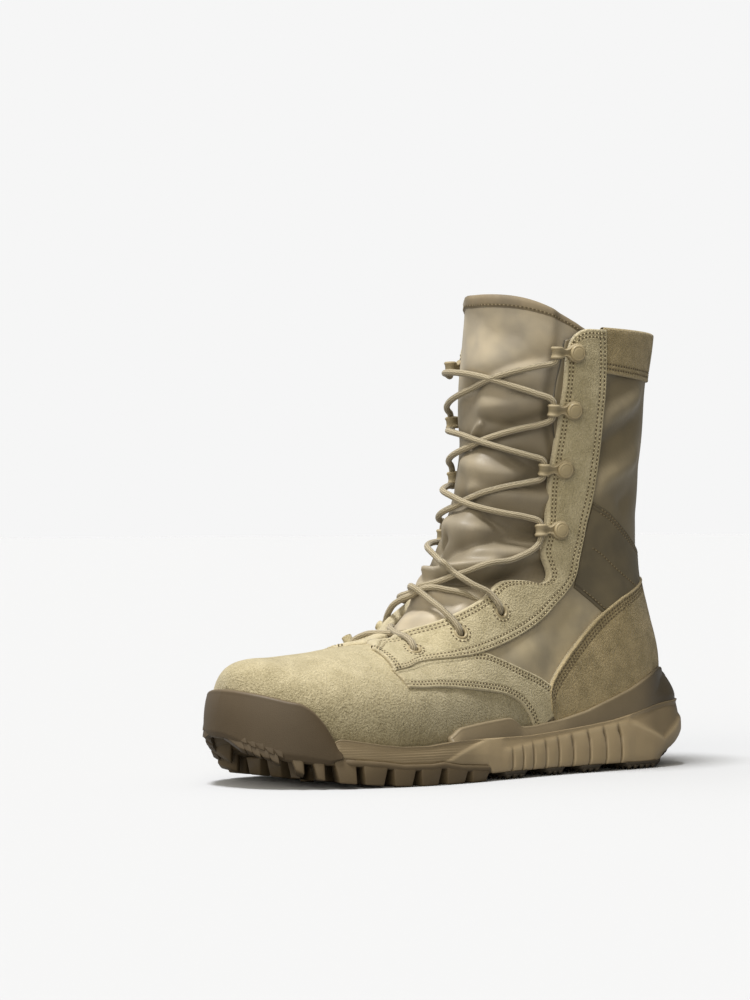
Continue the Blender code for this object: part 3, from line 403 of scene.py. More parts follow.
def makeMouldGroup():
    # moulded rubber: faint cloud, fine spark-eroded grain
    group, takes, gives = newGroup("mouldGrain", {"Grain": 1900.0}, ("Cloud", "Height"))
    cloud = noiseOf(group, takes["Vector"], 26.0, 5.0, 0.6)
    feed(group, gives["Cloud"], spread(group, cloud, 0.3, 0.7))
    feed(group, gives["Height"], noiseOf(group, takes["Vector"], takes["Grain"], 2.0, 0.5))
    return group


napGroup, weaveGroup, mouldGroup = makeNapGroup(), makeWeaveGroup(), makeMouldGroup()


def startMaterial(name, specular, sheen=None):
    material = bpy.data.materials.new(name)
    material.use_nodes = True
    tree = material.node_tree
    shader = tree.nodes["Principled BSDF"].inputs
    feed(tree, shader["Specular IOR Level"], specular)
    for key, value in (sheen or {}).items():
        feed(tree, shader["Sheen " + key], value)
    return material, tree, shader, addNode(tree, "ShaderNodeTexCoord").outputs


def useGroup(tree, group, vector, **inputs):
    return addNode(tree, "ShaderNodeGroup", {"Vector": vector, **inputs}, node_tree=group).outputs


def readMask(tree, name):
    return addNode(tree, "ShaderNodeAttribute", attribute_name=name).outputs["Fac"]


def finishMaterial(tree, shader, colour, rough, height, strength, distance):
    inputs = {"Height": height, "Strength": strength, "Distance": distance}
    bump = addNode(tree, "ShaderNodeBump", inputs).outputs[0]
    for name, value in (("Base Color", colour), ("Roughness", rough), ("Normal", bump)):
        feed(tree, shader[name], value)


def shadeOver(tree, colour, mask, strength, dark, shares):
    # painted shade over a colour: mixes it by the mask towards a darkened copy of the dark tone
    shadeTone = tuple(c * share for c, share in zip(dark, shares))
    return mixColours(tree, scaled(tree, mask, strength), colour, shadeTone)


def suedeMaterial(name, dark, light, rawEdgeAndHighlight):
    sheen = {"Weight": 0.35, "Roughness": 0.55, "Tint": (0.95, 0.9, 0.78)}
    material, tree, shader, coords = startMaterial(name, 0.15, sheen)
    nap = useGroup(tree, napGroup, coords["Object"])
    grime = readMask(tree, "grime")
    colour = mixColours(tree, nap["Cloud"], dark, light)
    speck = mixColours(tree, nap["Speck"], (0.6, 0.57, 0.5), (1.2, 1.2, 1.2))
    # speckle shows more where shade is painted, as grain does in raking light
    speckInShade = scaled(tree, grime, 1.1, 0.5, clamp=True)
    colour = mixColours(tree, speckInShade, colour, speck, "MULTIPLY")
    # cut edges lighter: the raw edge's own tone and a painted highlight
    colour = mixColours(tree, scaled(tree, readMask(tree, "rim"), 0.5), colour, rawEdgeAndHighlight)
    # painted shade from the mask
    colour = shadeOver(tree, colour, grime, 0.6, dark, (0.35, 0.35, 0.35))
    rough = scaled(tree, spread(tree, nap["Speck"], -1.0, 1.4), -0.5, 1.28)
    finishMaterial(tree, shader, colour, rough, nap["Height"], 0.85, 0.0015)
    return material


def nylonMaterial(name, dark, light, roughness):
    sheen = {"Weight": 0.12, "Roughness": 0.4, "Tint": (0.9, 0.85, 0.72)}
    material, tree, shader, coords = startMaterial(name, 0.4, sheen)
    weave = useGroup(tree, weaveGroup, coords["UV"])
    settings = ((30.0, 3.0), (55.0, 2.0), (700.0, 3.0))
    cloud, patches, fine = (noiseOf(tree, coords["Object"], *setting) for setting in settings)
    colour = mixColours(tree, spread(tree, cloud, 0.3, 0.7), dark, light)
    yarn = mixColours(tree, weave["Yarn"], (0.98, 0.98, 0.98), (1.02, 1.02, 1.02))
    patches = spread(tree, patches, 0.36, 0.64)
    mottle = mixColours(tree, patches, (0.84, 0.85, 0.88), (1.12, 1.11, 1.08))
    for tint in (yarn, mottle):
        colour = mixColours(tree, 1.0, colour, tint, "MULTIPLY")
    # painted shade from the mask
    colour = shadeOver(tree, colour, readMask(tree, "grime"), 0.75, dark, (0.31, 0.29, 0.24))
    rough = scaled(tree, fine, 0.2, roughness - 0.1)
    height = scaled(tree, weave["Height"], 0.12, scaled(tree, fine, 0.8))
    finishMaterial(tree, shader, colour, rough, height, 0.25, 0.0003)
    return material


def rubberMaterial(name, dark, light, edgeHighlight, roughness, grain=1900.0, shine=0.45):
    material, tree, shader, coords = startMaterial(name, shine)
    mould = useGroup(tree, mouldGroup, coords["Object"], Grain=grain)
    colour = mixColours(tree, mould["Cloud"], dark, light)
    # painted highlight along edges
    colour = mixColours(tree, scaled(tree, readMask(tree, "rim"), 0.6), colour, edgeHighlight)
    # painted shade from the mask
    colour = shadeOver(tree, colour, readMask(tree, "grime"), 0.85, dark, (0.25, 0.25, 0.25))
    rough = scaled(tree, mould["Cloud"], 0.12, roughness - 0.06)
    finishMaterial(tree, shader, colour, rough, mould["Height"], 0.3, 0.00025)
    return material


def cordMaterial(name, dark, light, turns, pitch):
    # long strands that sway, on the cord's own map: u once round, v along in millimetres
    material, tree, shader, coords = startMaterial(name, 0.25, {"Weight": 0.2, "Roughness": 0.5})
    parts = addNode(tree, "ShaderNodeSeparateXYZ", {0: coords["UV"]}).outputs
    sway = mathOf(tree, "SINE", scaled(tree, parts[1], 2 * math.pi / pitch))
    turn = scaled(tree, parts[0], turns * 2 * math.pi, scaled(tree, sway, 0.9))
    strands = scaled(tree, mathOf(tree, "SINE", turn), 0.5, 0.5)
    fuzz = noiseOf(tree, coords["Object"], 1800.0, 2.0)
    mixed = scaled(tree, strands, 0.7, scaled(tree, fuzz, 0.45))
    # darker where the strands dip: painted shade between the strands, with random fuzz
    colour = mixColours(tree, spread(tree, mixed, 0.15, 0.95), dark, light)
    finishMaterial(tree, shader, colour, scaled(tree, fuzz, 0.2, 0.68), mixed, 0.6, 0.0004)
    return material


# each look: its maker, the material's name, two tones, and a lighter edge tone (raw edge and painted highlight
# on suede, painted highlight on rubber), roughness, grain or shine
lookTable = {
    "suede": (suedeMaterial, "suede", (0.39, 0.336, 0.202), (0.52, 0.456, 0.296), (0.58, 0.51, 0.36)),
    # darker copy of the suede for the heel counter and collar band: painted shade
    "shadeSuede": (suedeMaterial, "shadeSuede", (0.26, 0.203, 0.1), (0.42, 0.332, 0.18), (0.5, 0.42, 0.27)),
    "nylon": (nylonMaterial, "nylon", (0.375, 0.318, 0.212), (0.44, 0.374, 0.254), 0.45),
    "ankle": (nylonMaterial, "ankleNylon", (0.12, 0.099, 0.06), (0.148, 0.122, 0.075), 0.5),
    "tongue": (nylonMaterial, "tongueNylon", (0.4, 0.343, 0.252), (0.46, 0.4, 0.3), 0.5),
    "lining": (nylonMaterial, "lining", (0.10, 0.085, 0.06), (0.14, 0.115, 0.08), 0.8),
    "binding": (nylonMaterial, "bindingTape", (0.20, 0.16, 0.105), (0.25, 0.2, 0.13), 0.7),
    "cradle": (
        rubberMaterial, "cradleRubber", (0.174, 0.135, 0.08), (0.21, 0.165, 0.1), (0.33, 0.27, 0.175), 0.4,
    ),
    # darker than the cradle's rubber: partly its own tone, partly painted shade under the vamp's overhang
    "bumper": (
        rubberMaterial, "bumperRubber", (0.066, 0.047, 0.026), (0.082, 0.059, 0.034), (0.27, 0.21, 0.135),
        0.45, 1900.0, 0.3,
    ),
    "foam": (rubberMaterial, "foam", (0.34, 0.26, 0.15), (0.40, 0.31, 0.185), (0.52, 0.43, 0.28), 0.42),
    "rubber": (
        rubberMaterial, "outsoleRubber", (0.1, 0.073, 0.041), (0.135, 0.1, 0.057), (0.22, 0.17, 0.105),
        0.5, 1900.0, 0.3,
    ),
    "tread": (rubberMaterial, "treadRubber", (0.05, 0.04, 0.027), (0.07, 0.055, 0.037), (0.1, 0.08, 0.05), 0.7),
    "metal": (
        rubberMaterial, "paintedMetal", (0.35, 0.285, 0.165), (0.39, 0.32, 0.19), (0.5, 0.42, 0.27),
        0.38, 900.0,
    ),
    "webbing": (
        rubberMaterial, "loopWebbing", (0.30, 0.245, 0.145), (0.36, 0.295, 0.18), (0.46, 0.39, 0.26),
        0.62, 1500.0,
    ),
    "lace": (cordMaterial, "laceCord", (0.2, 0.165, 0.104), (0.45, 0.388, 0.27), 9.0, 2.6),
    "thread": (rubberMaterial, "thread", (0.56, 0.475, 0.3), (0.64, 0.55, 0.36), (0.5, 0.42, 0.27), 0.75),
    "dimThread": (
        rubberMaterial, "dimThread", (0.24, 0.19, 0.11), (0.28, 0.225, 0.13), (0.3, 0.25, 0.15), 0.75,
    ),
    # dark discs at the needle holes: painted shade
    "pit": (rubberMaterial, "needlePit", (0.1, 0.076, 0.04), (0.13, 0.1, 0.054), (0.08, 0.06, 0.03), 0.9),
}
looks = {name: maker(*values) for name, (maker, *values) in lookTable.items()}
print("materials ready")


# Mesh helpers
weldGap, thinnest = 0.00001, 0.000001


def meshFrom(name, bm):
    mesh = bpy.data.meshes.new(name)
    bm.to_mesh(mesh)
    bm.free()
    return mesh


def addObject(name, data):
    made = bpy.data.objects.new(name, data)
    bpy.context.scene.collection.objects.link(made)
    return made


def finishPiece(name, bm, materials, nodes, weld=True):
    if weld:
        bmesh.ops.remove_doubles(bm, verts=bm.verts, dist=weldGap)
        bmesh.ops.dissolve_degenerate(bm, edges=bm.edges, dist=thinnest)
        bmesh.ops.recalc_face_normals(bm, faces=bm.faces)
    for face in bm.faces:
        face.smooth = True
    return addPiece(name, meshFrom(name, bm), materials, nodes)


def addPiece(name, mesh, materials, nodes):
    for material in [materials] if isinstance(materials, str) else materials:
        mesh.materials.append(looks[material])
    piece = addObject(name, mesh)
    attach(piece, "root")
    if nodes:
        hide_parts(*nodes)
    return piece


def sheetFrom(lattices, closed=False):
    # grids moved onto lattices of points; each has outer and masks, and may have inner and a map in mm
    bm = bmesh.new()
    placeLayer = bm.verts.layers.int.new("place")
    names = ["mapU", "mapV", "lining", *lattices[0]["masks"]]
    layers = {name: bm.verts.layers.float.new(name) for name in names}
    inner, count = [], 0
    for lattice in lattices:
        outer = toFrame(lattice["outer"])
        size = outer.shape[:2]
        rows, columns = size[0] - 1, size[1] - 1
        made = bmesh.ops.create_grid(bm, x_segments=rows, y_segments=columns, size=1.0)["verts"]
        i = np.rint(np.array([vert.co.x + 1 for vert in made]) / 2 * rows).astype(int)
        j = np.rint(np.array([vert.co.y + 1 for vert in made]) / 2 * columns).astype(int)
        for vert, point, at in zip(made, outer[i, j], count + i * size[1] + j):
            vert.co = point
            vert[placeLayer] = at
        mapU, mapV = lattice.get("map", (0.0, 0.0))
        for name, values in {**lattice["masks"], "mapU": mapU, "mapV": mapV}.items():
            for vert, value in zip(made, np.broadcast_to(values, size)[i, j]):
                vert[layers[name]] = value
        inner.append(toFrame(lattice.get("inner", lattice["outer"])).reshape(-1, 3))
        count += size[0] * size[1]
    bmesh.ops.remove_doubles(bm, verts=bm.verts, dist=weldGap)
    bmesh.ops.recalc_face_normals(bm, faces=bm.faces)
    if not closed:
        inner = np.concatenate(inner)
        for vert in bmesh.ops.extrude_face_region(bm, geom=bm.faces[:])["geom"]:
            if isinstance(vert, bmesh.types.BMVert):
                vert.co = inner[vert[placeLayer]]
                vert[layers["lining"]] = 1.0
    sheetMap = bm.loops.layers.uv.new("sheet")
    mapU, mapV = bm.verts.layers.float["mapU"], bm.verts.layers.float["mapV"]
    for face in bm.faces:
        for loop in face.loops:
            loop[sheetMap].uv = (loop.vert[mapU], loop.vert[mapV])
    return bm


def solidFrom(lattices):
    # closed sheet with its open ends filled
    bm = sheetFrom(lattices, closed=True)
    bmesh.ops.holes_fill(bm, edges=[edge for edge in bm.edges if edge.is_boundary], sides=0)
    return bm


# Upper: nylon quarters and suede vamp in one hollow shell
upperPiece = {
    "rows": 230,
    "columns": 58,
    # s and z of the vamp's edge, under the saddle's middle
    "vampEdge": [
        (121, 15), (123, 28.5), (127, 34.5), (133, 40.5), (142.5, 47), (154, 52), (167, 55), (184, 55),
        (226, 57),
    ],
    "vampRow": 7.9,
    # s0 z0 s1 z1 width height
    "folds": [
        (46, 206, 86, 188, 6.0, 1.9),
        (48, 192, 88, 172, 4.5, -1.9),
        (44, 174, 88, 154, 6.0, 2.2),
        (36, 158, 64, 144, 5.0, -1.3),
        (58, 220, 80, 208, 6.0, -0.9),
        (120, 72, 140, 62, 9.0, 0.7),
        (104, 84, 116, 72, 7.0, -0.6),
        (108, 66, 124, 52, 8.0, -0.4),
    ],
    "foldGain": 1.8,
    "medialFolds": 0.55,
    "foldPaintedShade": 0.22,
    "backFolds": [(20, 170, 42, 163, 8.0, -0.5), (20, 140, 42, 137, 7.0, -0.5)],
    "unevenness": 0.22,
    "collarDrop": 0.7,
}
plainMasks = {"rim": 0.0, "grime": 0.0}


def vampPaintedShade(s, z):
    # painted shade: a dark line where the vamp goes down behind the sole and the bumper, and darker low on its
    # side and at the toe's front
    sunk = fall(z, soleAt("rim", s) + 2.0, 1.6)
    behindBumper = (s > 265) * fall(z, table(sole["bumperTop"], s) + 1.3, 1.2)
    shade = 0.66 * fall(z, 58, 24) + 0.25 * rise(s, 272, 20) * fall(z, 66, 12)
    return np.maximum(np.maximum(sunk, behindBumper), shade)


def makeUpper():
    u = upperPiece
    rows = evenRows(0, last["collarRow"], u["rows"])
    share = np.linspace(0, 1, u["columns"] + 1)[None, :]
    facing = sorted((row[3], row[2]) for row in eyestayPiece["strip"])
    lattices = []
    for side in (lateral, medial):
        t = share * throatReach(rows, side)[:, None]
        k = np.repeat(rows[:, None], u["columns"] + 1, 1)
        k = k - u["collarDrop"] * np.clip((k - 25) / 2, 0, 1) * rise(share, 0.86, 0.14)
        base = skin(k, t, side)
        s, z = base[..., 1], base[..., 2]
        vamp = (k < u["vampRow"]) | ((s > u["vampEdge"][0][0]) & (z < table(u["vampEdge"], s)))
        lift = u["foldGain"] * foldDepth(s, z, u["folds"]) * np.where(vamp, 0, 1)
        # painted shade: darker high on the quarter and towards the collar, darker in fold troughs and lighter
        # on fold ridges; on the vamp, painted shade along its low edges
        shade = rise(z, 92, 34) - u["foldPaintedShade"] * np.clip(lift, -2, 2) + 0.12 * rise(z, 190, 20)
        grime = np.clip(np.where(vamp, vampPaintedShade(s, z), shade), 0, 1)
        lift = lift * rise(s, 44, 18) * fall(s, table(facing, z) + 1.5, 8)
        lift = lift * (1.0 if side == lateral else u["medialFolds"])
        lift = lift + foldDepth(s, z, u["backFolds"]) + u["unevenness"] * ripple(base, 38, 3)
        # calm at the collar and along the back
        lift *= np.clip((last["collarRow"] - k) / 0.6, 0, 1)
        lift *= np.clip(t / 0.05 + (k < last["heelRow"]), 0.3, 1)
        lattices.append(
            {
                "outer": skin(k, t, side, lift),
                "inner": skin(k, t, side, lift - last["wall"]),
                "masks": {"vamp": vamp.astype(float), "rim": 0.0, "grime": grime},
                "map": (s + side * 400, z),
            }
        )
    bm = sheetFrom(lattices)
    vampLayer, lining = bm.verts.layers.float["vamp"], bm.verts.layers.float["lining"]
    for face in bm.faces:
        if sum(vert[lining] for vert in face.verts) > 0.5:
            face.material_index = 2
        elif sum(vert[vampLayer] for vert in face.verts) > 2:
            face.material_index = 1
    piece = finishPiece("upperShell", bm, ["nylon", "suede", "lining"], ["upper"])
    print("upper shell", len(piece.data.polygons))
    return piece


# Tongue: padded nylon with the folds that the lacing presses into it
tonguePiece = {
    "rows": 200,
    "columns": 48,
    "lowRow": 7.0,
    "topRows": (28.4, 26.9),
    "topPower": 3.6,
    "throatRow": 8.4,
    "underlap": 0.1,
    "girth": 105.0,
    "gap": 1.2,
    "thickness": 3.5,
    "edgeThickness": 0.8,
    "swell": 2.8,
    "lean": 5.5,
    "eyeletDip": 3.4,
    # x0 z0 x1 z1 width height, on both halves
    "folds": [
        (8, 242, 16, 234, 8.0, -0.6),
        (28, 232, 34, 224, 7.0, -0.5),
        (-4, 218, 24, 212, 10.0, 0.8),
        (36, 221, -8, 204, 4.5, -0.9),
        (36, 189, -8, 168, 4.2, -1.4),
        (34, 158, -10, 139, 4.2, -1.6),
        (32, 127, -12, 111, 4.0, -1.8),
        (-2, 206, 34, 203, 6.0, -1.0),
        (-14, 178, 14, 175, 3.6, -0.9),
        (-14, 149, 14, 144, 3.6, -1.0),
        (9, 185.5, 2, 178, 1.9, 1.3),
        (12, 187, 24, 184, 4.0, -1.2),
        (14, 195, 32, 197, 6.0, 1.2),
        (-2, 167, 22, 158, 6.5, 2.0),
        (25, 167, 36, 155, 4.5, -1.9),
        (10, 150.5, 31, 147, 4.0, 1.5),
        (-6, 134, 15, 129.5, 6.0, 2.3),
        (20, 136, 31, 127, 4.2, -2.4),
        (-14, 129, -6, 119, 2.6, -1.7),
        (-1, 126, -11, 116, 2.2, -1.5),
        (20, 118.5, 33, 116, 4.4, 2.0),
        (-16, 104, 0, 107.5, 3.2, 1.8),
        (0, 107.5, 24, 111, 3.0, 2.4),
        (8, 104.5, 29, 103.5, 2.8, -2.9),
        (30, 106, 34, 118, 3.0, -2.4),
        (-16, 98.5, 8, 98, 5.0, 1.7),
        (-10, 91, 20, 93, 3.6, -1.4),
        (-8, 84, 18, 86, 4.0, 1.0),
    ],
    "foldGain": 2.2,
    "bindingWidth": 5.4,
    "bindingSwell": 0.75,
    "bindingStitch": 4.0,
    "bindingColumns": 90,
    "rowHeight": 15.0,  # of one row at the collar
}


def tongueTop(across):
    middle, edge = tonguePiece["topRows"]
    return edge + (middle - edge) * (1 - (1 - across) ** tonguePiece["topPower"])


def tongueGirth(k, side, across):
    # girth on the tongue, across from its edge under the facing (0) to the ridge (1)
    edge = np.minimum(0.8, throatReach(np.maximum(k, tonguePiece["throatRow"]), side))
    start = edge - tonguePiece["underlap"]
    return start + (1 - start) * across


def tongueLift(k, t, side):
    p = tonguePiece
    base = skin(k, t, side)
    x, s, z = base[..., 0], base[..., 1], base[..., 2]
    lift = p["foldGain"] * foldDepth(x, z, p["folds"]) * (0.35 + 0.65 * rise(x, -14, 16))
    # swells up between the facings
    inside = (t - throatReach(np.maximum(k, p["throatRow"]), side)) * p["girth"]
    lift = lift + p["swell"] * rise(inside, 1.0, 5.0) * rise(z, 95, 18) * rise(x, 0, 12)
    # the top leans away from the inner side
    lift = lift - p["lean"] * rise(z, 185, 65) * fall(x, 0, 22)
    for eyeletS, eyeletZ in lacing["eyelets"]:
        away = np.hypot(s - eyeletS + 5, z - eyeletZ - 3)
        lift -= p["eyeletDip"] * bell(away, 9.0) * (np.abs(x) > 6)
    return lift + 0.15 * ripple(base, 30, 8) - last["wall"] - p["gap"]


def makeTongue():
    p = tonguePiece
    low, high = p["lowRow"], p["topRows"][0]
    share = (evenRows(low, high, p["rows"]) - low) / (high - low)
    across = np.linspace(0, 1, p["columns"] + 1)[None, :]
    k = low + (tongueTop(across) - low) * share[:, None]
    pinch = np.minimum(1, across / 0.12) ** 0.5
    depth = p["edgeThickness"] + (p["thickness"] - p["edgeThickness"]) * pinch
    lattices = []
    for side in (lateral, medial):
        t = tongueGirth(k, side, across)
        lift = tongueLift(k, t, side)
        base = skin(k, t, side)
        x, z = base[..., 0], base[..., 2]
        # painted shade: darker over the middle of the tongue, darker in fold troughs and lighter on fold ridges
        shade = 0.92 * fall(z, 218, 26) * rise(z, 96, 16)
        grime = shade - 0.22 * np.clip(foldDepth(x, z, p["folds"]), -2.5, 1.5)
        lattices.append(
            {
                "outer": skin(k, t, side, lift),
                "inner": skin(k, t, side, lift - depth),
                "masks": {"rim": 0.0, "grime": np.clip(grime, 0, 1)},
                "map": (x + 300, z),
            }
        )
    piece = finishPiece("tonguePad", sheetFrom(lattices), "tongue", ["tongue"])
    print("tongue", len(piece.data.polygons))


def makeTongueBinding():
    # tape folded over the tongue's top edge; gives the lines of its stitches
    p = tonguePiece
    width, swell, back = p["bindingWidth"], p["bindingSwell"], -p["thickness"]
    # distances down from the edge and outwards, closed to a ring
    profile = [
        (width, -0.3), (width - 0.1, 0.5), (width * 0.6, swell), (1.2, swell), (-0.4, swell * 0.4),
        (-1.0, -0.9), (-1.0, back + 0.9), (-0.4, back - swell * 0.4), (1.2, back - swell), (width, back - 0.4),
        (width, back + 0.3), (width, -0.3),
    ]
    across = np.linspace(0.02, 1, p["bindingColumns"])
    top = tongueTop(across)
    lattices, seams = [], []
    for side in (lateral, medial):
        t = tongueGirth(top, side, across)
        points = []
        for down, out in profile:
            wrinkle = 0.16 * np.sin(across * 95 + down * 1.6) * (out > 0)
            k = top - down / p["rowHeight"]
            points.append(skin(k, t, side, tongueLift(k, t, side) + out + wrinkle))
        outer = np.stack(points, 1)
        uv = (runLength(outer, 0), runLength(outer, 1))
        lattices.append({"outer": outer, "masks": plainMasks, "map": uv})
        k = top - p["bindingStitch"] / p["rowHeight"]
        seams.append(lieOn(k, t, side, tongueLift(k, t, side) + swell))
    finishPiece("tongueBinding", sheetFrom(lattices, closed=True), "binding", [])
    return seams


# Overlays: suede panels and a nylon strip, each cut from the last's own surface
overlayPiece = {
    "sunk": -0.5,
    "edgeRadius": 0.75,
    "stitchTrough": 0.3,
    "stitchGrooveShade": 0.55,
    "onTop": 0.6,
    # distances from a cut edge where the lattice has its lines
    "edgeSteps": [0, 0.08, 0.25, 0.5, 0.8, 1.2, 1.6, 2.0, 2.4, 2.8, 3.2, 3.6, 4.0, 4.4, 4.9, 5.6, 6.5],
    "middleSteps": 7,
    "endSteps": [0, 0.0004, 0.0012, 0.0025],
}
# Strips run innerS innerZ outerS outerZ. Seams: edge, trims at both ends, distances from the edge.
eyestayPiece = {
    "rows": 270,
    "thickness": 2.25,
    "roundEnds": True,
    "cornerRadius": 13.0,
    "troughs": {"inner": (1.5, 3.4), "outer": (1.7, 4.6), "end": (1.8, 3.6)},
    "seams": [
        ("inner", 7, 2, (1.5, 3.4)), ("outer", 3, 2, (1.7, 4.6)), ("end", 4, 2, (1.8, 3.6)),
        ("start", 9, 3, (2.2, 4.2)),
    ],
    "strip": [
        (109.5, 236.4, 86.0, 236.0), (110.4, 212.0, 85.0, 212.0), (111.6, 190.0, 86.0, 188.0),
        (112.3, 170.0, 86.6, 166.0), (113.2, 151.0, 88.0, 145.0), (115.6, 127.0, 92.0, 128.0),
        (118.0, 117.0, 95.5, 116.0), (115.0, 106.0, 98.5, 105.0), (120.0, 101.0, 104.0, 97.5),
        (132.0, 102.3, 112.0, 90.6), (145.0, 101.5, 124.5, 81.0), (157.0, 93.0, 144.0, 72.0),
        (175.0, 84.0, 166.0, 65.4), (190.0, 77.6, 183.0, 63.0), (202.0, 72.2, 204.0, 61.2),
        (212.0, 70.2, 216.0, 58.4), (222.0, 67.4, 225.0, 57.0),
    ],
    # rolled edge round the throat: distance in and lift
    "roll": [
        (1.2, -3.0), (0.2, -2.9), (-0.5, -2.4), (-0.9, -1.2), (-0.95, 0.2), (-0.7, 1.2), (-0.2, 1.9),
        (0.45, 2.2),
    ],
}
saddlePiece = {
    "rows": 130,
    "thickness": 1.5,
    "roundEnds": True,
    "troughs": {"inner": (1.9, 3.7), "outer": (1.9, 3.7)},
    "seams": [("outer", 2, 1, (1.9, 3.7)), ("inner", 52, 1, (1.9, 3.7))],
    "strip": [
        (225.6, 58.4, 221.5, 49.4), (213.0, 60.3, 211.5, 48.9), (201.0, 62.6, 201.0, 48.9),
        (183.0, 64.4, 184.0, 47.6), (167.0, 66.0, 167.0, 45.8), (155.0, 62.4, 153.5, 43.5),
        (141.0, 57.0, 143.0, 39.0), (126.0, 51.0, 137.0, 33.0), (115.5, 44.0, 134.0, 28.5),
        (109.0, 36.0, 131.5, 23.0),
    ],
}
anklePiece = {
    "rows": 70,
    "thickness": 1.1,
    "roundEnds": False,
    "troughs": {"inner": (1.4, 3.2), "outer": (2.0,)},
    "seams": [("inner", 5, 4, (1.4, 3.4, 23.0)), ("outer", 5, 40, (2.4,))],
    "strip": [
        (86.2, 144.2, 99.4, 98.4), (75.0, 138.6, 89.0, 91.4), (62.0, 129.8, 78.0, 84.0),
        (51.0, 123.0, 66.0, 78.0), (44.0, 118.8, 50.0, 84.0), (38.5, 116.6, 39.0, 96.0),
    ],
}
counterPiece = {
    "rows": 120,
    "columns": 46,
    "thickness": 1.9,
    "seams": [("outer", 6, 0, (2.3, 4.1, 5.9))],
    "rise": 1.0,
    "lip": 0.3,
    # s and z of its cut edge
    "edge": [
        (120, 34), (120.8, 45), (116, 53), (108, 61.5), (99, 69.8), (90, 77.6), (80.7, 84.7), (68.4, 92),
        (57, 96.6), (46, 100.4), (33, 104),
    ],
}
bandPiece = {
    "columns": 90,
    "thickness": 1.4,
    "low": (25.5, 25.0),
    "top": 27.05,
    "end": (89.0, 212.0),
    "seams": [("inner", 0, 4, (2.0, 4.0))],
    # over the collar's edge and down inside: distance past the top and lift
    "over": [
        (0.7, 1.15), (1.15, 0.5), (1.3, -0.4), (1.3, -1.8), (1.0, -2.6), (0.3, -3.1), (-2, -3.2), (-9, -3.1),
        (-16, -3.0), (-18, -1.8),
    ],
}


def roundedEdge(d, full):
    # height of a panel at a distance from its cut edge
    radius = overlayPiece["edgeRadius"]
    return full - radius + np.sqrt(np.maximum(0, radius**2 - np.maximum(0, radius - d) ** 2))


def stitchBells(piece, d, width):
    return sum(bell(d - row, width) for row in piece["seams"][0][3])


# where a cut edge is painted lighter: its raw edge tone and a painted highlight
def rimMask(d, width=0.6):
    return np.clip(1 - (d - 0.2) / width, 0, 1)


def stripAt(strip, u, v):
    spacing = np.linspace(0, 1, len(strip))
    innerS, innerZ, outerS, outerZ = (cubicAt(spacing, column, u) for column in zip(*strip))
    return innerS + (outerS - innerS) * v, innerZ + (outerZ - innerZ) * v


def stripLattice(piece, side):
    # lattice on a strip, with lines close together along its cut edges
    o, strip, full = overlayPiece, piece["strip"], piece["thickness"]
    ends, steps = np.array(o["endSteps"]), np.array(o["edgeSteps"])
    u = np.concatenate([ends, np.linspace(0.004, 0.996, piece["rows"]), 1 - ends[::-1]])[:, None]
    line = sideSkin(*stripAt(strip, u, np.linspace(0, 1, 9)[None, :]), side)
    width = runLength(line, 1)[:, -1:]
    near = steps[None, :] * np.minimum(1, width / (2.6 * steps[-1]))
    inside = np.linspace(0, 1, o["middleSteps"])[None, 1:-1]
    middle = near[:, -1:] + (width - 2 * near[:, -1:]) * inside
    across = np.concatenate([near, middle, width - near[:, ::-1]], 1)
    lift = np.minimum(roundedEdge(across, full), roundedEdge(width - across, full))
    roll = piece.get("roll", [])
    if roll:
        keep = int(np.searchsorted(steps, roll[-1][0])) + 1
        rollD, rollLift = (np.array(column)[None, :] * np.ones(u.shape) for column in zip(*roll))
        across = np.concatenate([rollD, across[:, keep:]], 1)
        lift = np.concatenate([rollLift, lift[:, keep:]], 1)
    s, z = stripAt(strip, u, across / width)
    if "cornerRadius" in piece:
        corner = piece["cornerRadius"]
        drop = corner - np.sqrt(corner**2 - (corner - np.clip(across, 0, corner)) ** 2)
        z = z - drop * np.clip(1 - (strip[0][1] - z) / (3 * corner), 0, 1)
    base = sideSkin(s, z, side)
    fromStart = runLength(base, 0)
    edges = {"inner": across, "outer": width - across, "start": fromStart, "end": fromStart[-1:] - fromStart}
    if piece["roundEnds"]:
        for edge in ("start", "end"):
            lift = lift - (full - roundedEdge(edges[edge], full)) * (lift > 0)
    # painted shade in the stitch grooves
    dark = np.zeros(lift.shape)
    for edge, distances in piece["troughs"].items():
        for d in distances:
            onTop = lift > full * o["onTop"]
            dark = dark + o["stitchGrooveShade"] * bell(edges[edge] - d, 0.6) * onTop
            lift = lift - o["stitchTrough"] * bell(edges[edge] - d, 0.5) * onTop
    lift = lift + 0.12 * ripple(base, 24, 5) * (lift > full * o["onTop"])
    nearest = np.min(np.stack(list(edges.values())), 0)
    k, t = fromSide(s, z)
    outer, ways = lieOn(k, t, side, lift)
    return {
        "outer": outer,
        "inner": skin(k, t, side, np.minimum(lift - 0.4, o["sunk"])),
        "masks": {"rim": rimMask(nearest), "grime": np.clip(dark, 0, 1)},
        "map": (s, z),
        "edges": edges,
        "normals": ways,
        "rollSteps": len(roll),
    }


